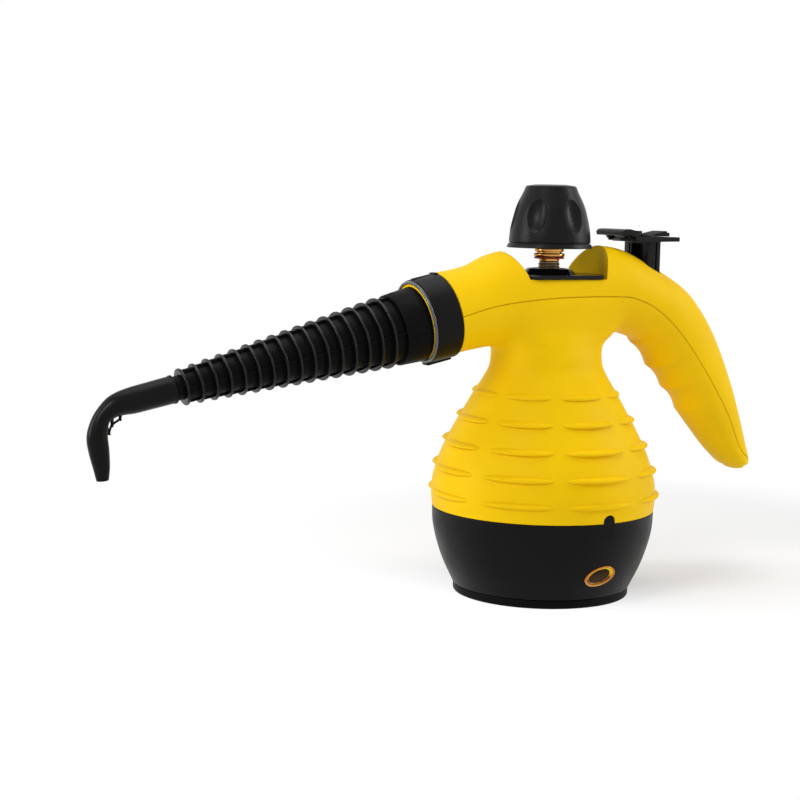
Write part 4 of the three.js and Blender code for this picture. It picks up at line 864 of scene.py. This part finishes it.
REAR_TOP = 208.9
button = plank("steam_button", rounded([
    (41.0, 211.4, 0.9), (42.6, 213.0, 1.4), (46.2, 213.4, 3), (51.0, 212.4, 0.3), (54.2, REAR_TOP, 0.7),
    (82.0, REAR_TOP, 0.6), (82.0, REAR_TOP - 2.6, 0.6), (58.0, REAR_TOP - 3.0, 0.5),
    (53.0, REAR_TOP - 3.0, 0.8), (50.4, 208.8, 0.8), (47.0, 209.9, 1), (41.8, 209.4, 0.9)], 0.5, 4, True),
    -14, 14)
union(button, slab("step", (51.2, -10.5, 207), (57.6, 10.5, 212.4), 0.5),
      slab("rear_pad", (57.2, -11.5, 208), (64.7, 11.5, 210.2), 0.5))
post = slab("post", (VALVE_X - POST_LONG, -POST_WIDE, 178.0), (VALVE_X + POST_LONG, POST_WIDE, 207), 0.4)
cut(post, slab("front_recess", (55, -8.0, 170), (65.0, 4.8, 205), 0.3),
    slab("front_groove", (55, -10.6, 170), (61.3, -9.8, 205), 0),
    slab("far_groove", (55, 6.0, 170), (61.5, 7.4, 205), 0))
for low, high in ((-20, -10.9), (10.9, 20)):
    cut(post, slab("side_groove", (65.9, low, 170), (67.0, high, 205.5), 0))
union(button, post)
web = rounded([(44.6, 210.8), (48.4, 206.3), (50.6, 207.6), (54.5, 207.6), (54.5, 210.8)], 0.4, 3, True)
for y in (-11, 9):
    union(button, plank("web", web, y, y + 2.0))
# The catch bar hangs high enough to clear the cover when the trigger is pressed
union(button, slab("catch", (43.2, -10.6, 206.3), (61.5, -7.4, 208.3), 0.7),
      slab("catch_root", (46.0, -10.2, 207.2), (61.5, -7.8, 211), 0.3))
shade(button, 35)
finish(button, "trigger", trigger_black, "black_plastic", "trigger_button")

LOCK_FRONT, LOCK_LOW = 69.0, REAR_TOP + GAP
LOCK_BACK, LOCK_RIDGES = 79.5, 6
lock_line = [(LOCK_FRONT, LOCK_LOW), (LOCK_BACK, LOCK_LOW), (LOCK_BACK, 211.3), (77.9, 211.4), (77.5, 212.3),
             (76.9, 212.4)]
for k in range(LOCK_RIDGES):
    x, top = 76.4 - k * 1.1, 212.3 - 0.24 * k
    lock_line += [(x, top), (x - 0.25, top - 0.6), (x - 0.55, top - 0.65), (x - 0.8, top - 0.15)]
lock_line += [(LOCK_FRONT + 0.3, LOCK_LOW + 1.0)]
finish(plank("lock_wedge", lock_line, -7, 7), "trigger_lock", trigger_black, "black_plastic", "lock_slider")

# Springs

SPRING_WIRE, SPRING_TURNS, TRIGGER_TRAVEL, RELIEF_TRAVEL = 0.9, 4, 4.5, 1.5


def coil(name, node, body):
    """A coil in the room of a CAD spring."""
    low, high = (np.array(corner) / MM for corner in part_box(node))
    wire, turns = SPRING_WIRE, SPRING_TURNS
    middle, radius = (low + high) / 2, (high[1] - low[1] - wire) / 2
    round_wire = np.linspace(0, 2 * math.pi, 12, endpoint=False)[:, None]
    rings = []
    for a in np.linspace(0, 2 * math.pi * turns, 40 * turns + 1):
        outward = np.array([math.cos(a), math.sin(a), 0])
        rise = low[2] + wire / 2 + (high[2] - low[2] - wire) * a / (2 * math.pi * turns)
        centre = np.array([middle[0], middle[1], rise]) + radius * outward
        upward = np.array([0, 0, 1])
        rings.append(centre + wire / 2 * (np.cos(round_wire) * outward + np.sin(round_wire) * upward))
    piece = finish(lofted(name, rings, 50), body, steel, "steel", node)
    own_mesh(piece)


coil("trigger_coil", "trigger_spring", "housing")
coil("relief_coil", "relief_spring", "cap")

# Snout collar

BACK, FRONT, LIP_BACK = SNOUT_REACH + GAP, 88.8, 87.2
collar = turned("collar_ring", round_section([
    (21.9, BACK), (24.1, BACK, 0.2), (24.3, BACK + 0.4, 0.3), (24.2, BACK + 4, 1.0), (23.9, FRONT - 2.0, 0.3),
    (23.2, LIP_BACK, 0.1), (21.9, LIP_BACK, 0.1)], 0.4), 128)
# The lip is its own piece so that it carries the glossier material with the painted highlight
collar_lip = turned("collar_lip", round_section([
    (21.95, LIP_BACK, 0.1), (23.3, LIP_BACK, 0.1), (23.65, FRONT - 1.1, 0.3), (23.3, FRONT, 0.8),
    (22.0, FRONT, 0.4)], 0.4, 5), 128)
finish(moved(collar_lip, SNOUT), "housing", lip_black_painted_highlight, "black_plastic")
union(collar, slab("nub", (23.4, -3.5, BACK), (24.8, 3.5, BACK + 2), 0.3),
      slab("ridge", (23.0, -1.2, BACK + 1), (24.45, 1.2, FRONT - 2.4), 0.25),
      slab("key", (-25.2, -3.5, BACK + 1), (-22.8, 3.5, 87.6), 0.4))
shade(collar, 35)
finish(moved(collar, SNOUT), "housing", satin_black, "black_plastic", "snout_collar")

# Nozzle extension

DISC_START, DISCS, PITCH, DISC_THICK, PLUG_BACK, FLANGE = 104.1, 16, 7.9, 1.4, 80.1, 89.1
FIRST_DISC, LAST_DISC, PLUG = 20.15, 10.05, 17.8
disc_radii = [FIRST_DISC + (LAST_DISC - FIRST_DISC) * k / (DISCS - 1) for k in range(DISCS)]
profile = [(PLUG, PLUG_BACK), (PLUG, FLANGE - 0.1), (20.9, FLANGE), (21.1, FLANGE + 0.3), (20.9, FLANGE + 4),
           (FIRST_DISC, DISC_START - 0.3), (19.9, DISC_START)]
for k, radius in enumerate(disc_radii):
    low = DISC_START + k * PITCH
    profile += [(radius - 2.6, low + 0.05), (radius - 2.75, low + PITCH - 0.05)]
DISC_END = DISC_START + DISCS * PITCH
profile += [(6.6, DISC_END - 0.3), (6.6, DISC_END + 3.7), (5.2, DISC_END + 3.75),
            (5.2, DISC_END + 15.5), (4.8, DISC_END + 16), (2.6, DISC_END + 16), (2.6, DISC_END - 16),
            (4.6, DISC_END - 18), (13.4, DISC_START), (15.6, PLUG_BACK)]
tube = turned("extension_tube", profile, 112, 40)
for low, high in ((PLUG - 1.3, PLUG + 0.5), (-PLUG - 0.5, 1.3 - PLUG)):
    union(tube, slab("lug", (-3, low, PLUG_BACK), (3, high, PLUG_BACK + 3), 0.3))
for k, radius in enumerate(disc_radii):
    low, high = DISC_START + k * PITCH - 0.4, DISC_START + (k + 1) * PITCH - DISC_THICK + 0.4
    for turn, half in ((0.0, 1.7), (math.pi / 2, 0.5), (math.pi, 1.7), (-math.pi / 2, 0.5)):
        web = slab("web", (radius - 4.2, -half, low), (radius - 1.2, half, high), 0.15)
        union(tube, moved(web, about_z(turn)))
cut(tube, slab("sleeve_slot", (18.6, -1.7, 99.2), (24, 1.7, 102.6), 0.2),
    moved(slab("sleeve_line", (20.2, -0.15, 92), (24, 0.15, 103), 0), about_z(math.radians(-97))))
shade(tube, 40)
finish(moved(tube, NOZZLE), "nozzle", matt_black, "black_plastic", "nozzle_extension")
for k, radius in enumerate(disc_radii):
    front = DISC_START + (k + 1) * PITCH
    disc = turned(f"cooling_disc_{k + 1}", round_section([
        (radius - 3.2, front - DISC_THICK, 0), (radius, front - DISC_THICK, 0.3), (radius, front, 0.5),
        (radius - 3.2, front, 0)], 0.4), 112)
    finish(moved(disc, NOZZLE), "nozzle", gloss_black, "black_plastic")

# Elbow nozzle

ELBOW_BACK, ELBOW_REACH, ELBOW_DROP, SOCKET = 234.5, 47.8, 36.5, 7.4
ELBOW_SHARES = [(0.04, 0, 1), (0.282, 0, 0.98), (0.471, 0, 0.96), (0.617, 0, 0.865), (0.722, 0.025, 0.757),
                (0.847, 0.118, 0.622), (0.916, 0.247, 0.676), (0.956, 0.395, 0.75), (0.969, 0.584, 0.73),
                (0.981, 0.816, 0.601), (1, 1, 0.446)]


def elbow_place(forward, down):
    return (-down * ELBOW_DROP, 0, ELBOW_BACK + forward * ELBOW_REACH)


bend = catmull(ELBOW_SHARES, 120)
path = [(0, 0, 0.97), (0.006, 0, 1.04), (0.026, 0, 1.05), (0.032, 0, 1.03), (0.034, 0, 1.0), *bend,
        (1.0008, 1.008, 0.42), (1.001, 1.01, 0.37)]
line = [elbow_place(f, d) for f, d, _ in path]
elbow = swept("elbow_spout", line, [r * SOCKET for _, _, r in path], 72)
cut(elbow, drum("socket", 5.5, ELBOW_BACK - 5, 246.8, 48))
bore = [elbow_place(0.24, 0)] + [elbow_place(f, d) for f, d, _ in bend[20::4]] + [elbow_place(1.002, 1.1)]
cut(elbow, swept("bore", bore, [1.6] * len(bore), 24))
# Three teeth on the inside of the bend, joined by a strip
TEETH = [((0.617, 0), (0.663, 0.215)), ((0.722, 0.025), (0.766, 0.27)), ((0.847, 0.118), (0.820, 0.372))]
ends = []
for root, end in TEETH:
    a, b = np.array(elbow_place(*root)), np.array(elbow_place(*end))
    out = (b - a) / np.linalg.norm(b - a)
    union(elbow, swept("tooth", [a, b, b + out * 0.7], [1.3, 0.8, 0.5], 12))
    bar = slab("tooth_bar", (-0.5, -1.4, -0.5), (0.5, 1.4, 0.5), 0.15)
    union(elbow, moved(bar, shift(*(b + out * 0.4))))
    ends.append(b)
strip = catmull(ends, 20)
union(elbow, swept("strip", strip, [0.65] * len(strip), 12))
shade(elbow, 45)
finish(moved(elbow, NOZZLE), "elbow", soft_black, "black_plastic", "elbow_nozzle")

# Floor, light, camera

FLOOR_HALF, FLOOR_Z = 6, -0.0001
floor_mesh = bpy.data.meshes.new("floor")
floor_corners = [(x * FLOOR_HALF, y * FLOOR_HALF, FLOOR_Z) for x, y in ((-1, -1), (1, -1), (1, 1), (-1, 1))]
floor_mesh.from_pydata(floor_corners, [], [(0, 1, 2, 3)])
floor = bpy.data.objects.new("floor", floor_mesh)
bpy.context.scene.collection.objects.link(floor)
floor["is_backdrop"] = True


def seen(tree):
    """1 for what is seen straight, mirrored or through glass, and 0 for the light that falls on things."""
    path = tree.nodes.new("ShaderNodeLightPath")
    last, out = path, "Is Camera Ray"
    for ray in ("Is Glossy Ray", "Is Transmission Ray"):
        larger = tree.nodes.new("ShaderNodeMath")
        larger.operation = "MAXIMUM"
        link(tree, last, out, larger, 0)
        link(tree, path, ray, larger, 1)
        last, out = larger, "Value"
    return last


floor_look = bpy.data.materials.new("floor")
floor_look.use_nodes = True
tree = floor_look.node_tree
tree.nodes.clear()
out = tree.nodes.new("ShaderNodeOutputMaterial")
matt = tree.nodes.new("ShaderNodeBsdfDiffuse")
matt.inputs["Color"].default_value = (0.9, 0.9, 0.9, 1)
glow = tree.nodes.new("ShaderNodeEmission")
glow.inputs["Color"].default_value = (1, 1, 1, 1)
place = tree.nodes.new("ShaderNodeTexCoord")
away = tree.nodes.new("ShaderNodeVectorMath")
away.operation = "DISTANCE"
away.inputs[1].default_value = (0.165, 0.125, 0.0)
link(tree, place, "Object", away, 0)
# To the camera the floor glows white, less so round the place where the photograph shows a shadow
backdrop = span(tree, away, "Value", 0.3, 1.0, 0.16, 0.25)
share = tree.nodes.new("ShaderNodeMath")
share.operation = "MULTIPLY"
link(tree, seen(tree), "Value", share, 0)
link(tree, backdrop, "Result", share, 1)
both = tree.nodes.new("ShaderNodeMixShader")
link(tree, share, "Value", both, "Fac")
link(tree, matt, "BSDF", both, 1)
link(tree, glow, "Emission", both, 2)
link(tree, both, "Shader", out, "Surface")
floor_mesh.materials.append(floor_look)

world = bpy.data.worlds.new("studio")
bpy.context.scene.world = world
world.use_nodes = True
tree = world.node_tree
tree.nodes.clear()
out = tree.nodes.new("ShaderNodeOutputWorld")
background = tree.nodes.new("ShaderNodeBackground")
background.inputs["Color"].default_value = (1, 1, 1, 1)
strength = span(tree, seen(tree), "Value", 0.36, 1.0, 0, 1)
link(tree, strength, "Result", background, "Strength")
link(tree, background, "Background", out, "Surface")


def lamp(name, place, aim, width, height, power):
    data = bpy.data.lights.new(name, "AREA")
    data.shape = "RECTANGLE"
    data.size, data.size_y = width, height
    data.energy = power
    obj = bpy.data.objects.new(name, data)
    obj.location = place
    obj.rotation_euler = (Vector(aim) - Vector(place)).to_track_quat("-Z", "Y").to_euler()
    bpy.context.scene.collection.objects.link(obj)


lamp("key", (-1.1, -0.55, 0.92), (0, 0, 0.12), 0.5, 0.5, 7.4)
lamp("side_left", (-1.15, 0.35, 0.5), (0, 0, 0.16), 0.2, 0.8, 5.5)
lamp("fill_right", (1.05, -0.5, 0.62), (0, 0, 0.15), 0.3, 0.8, 7.2)
lamp("top", (-0.05, 0.1, 1.35), (0, 0, 0.1), 0.9, 0.9, 5.5)

# The camera as solved from the circles of the foot, the base, the cap and the pocket in the photograph
tilt = math.radians(6.61)
look = Vector((0.454 * math.cos(tilt), 0.891 * math.cos(tilt), -math.sin(tilt)))
camera_data = bpy.data.cameras.new("camera")
camera_data.lens = 76.95
camera_data.sensor_width = 36
camera_data.clip_start = 0.01
camera = bpy.data.objects.new("camera", camera_data)
camera.location = (-0.5279, -0.8488, 0.2267)
turn = look.to_track_quat("-Z", "Y").to_matrix().to_4x4() @ about_z(math.radians(1.09))
camera.rotation_euler = turn.to_euler()
bpy.context.scene.collection.objects.link(camera)
bpy.context.scene.camera = camera
bpy.context.scene.view_settings.view_transform = "Standard"

low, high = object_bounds()
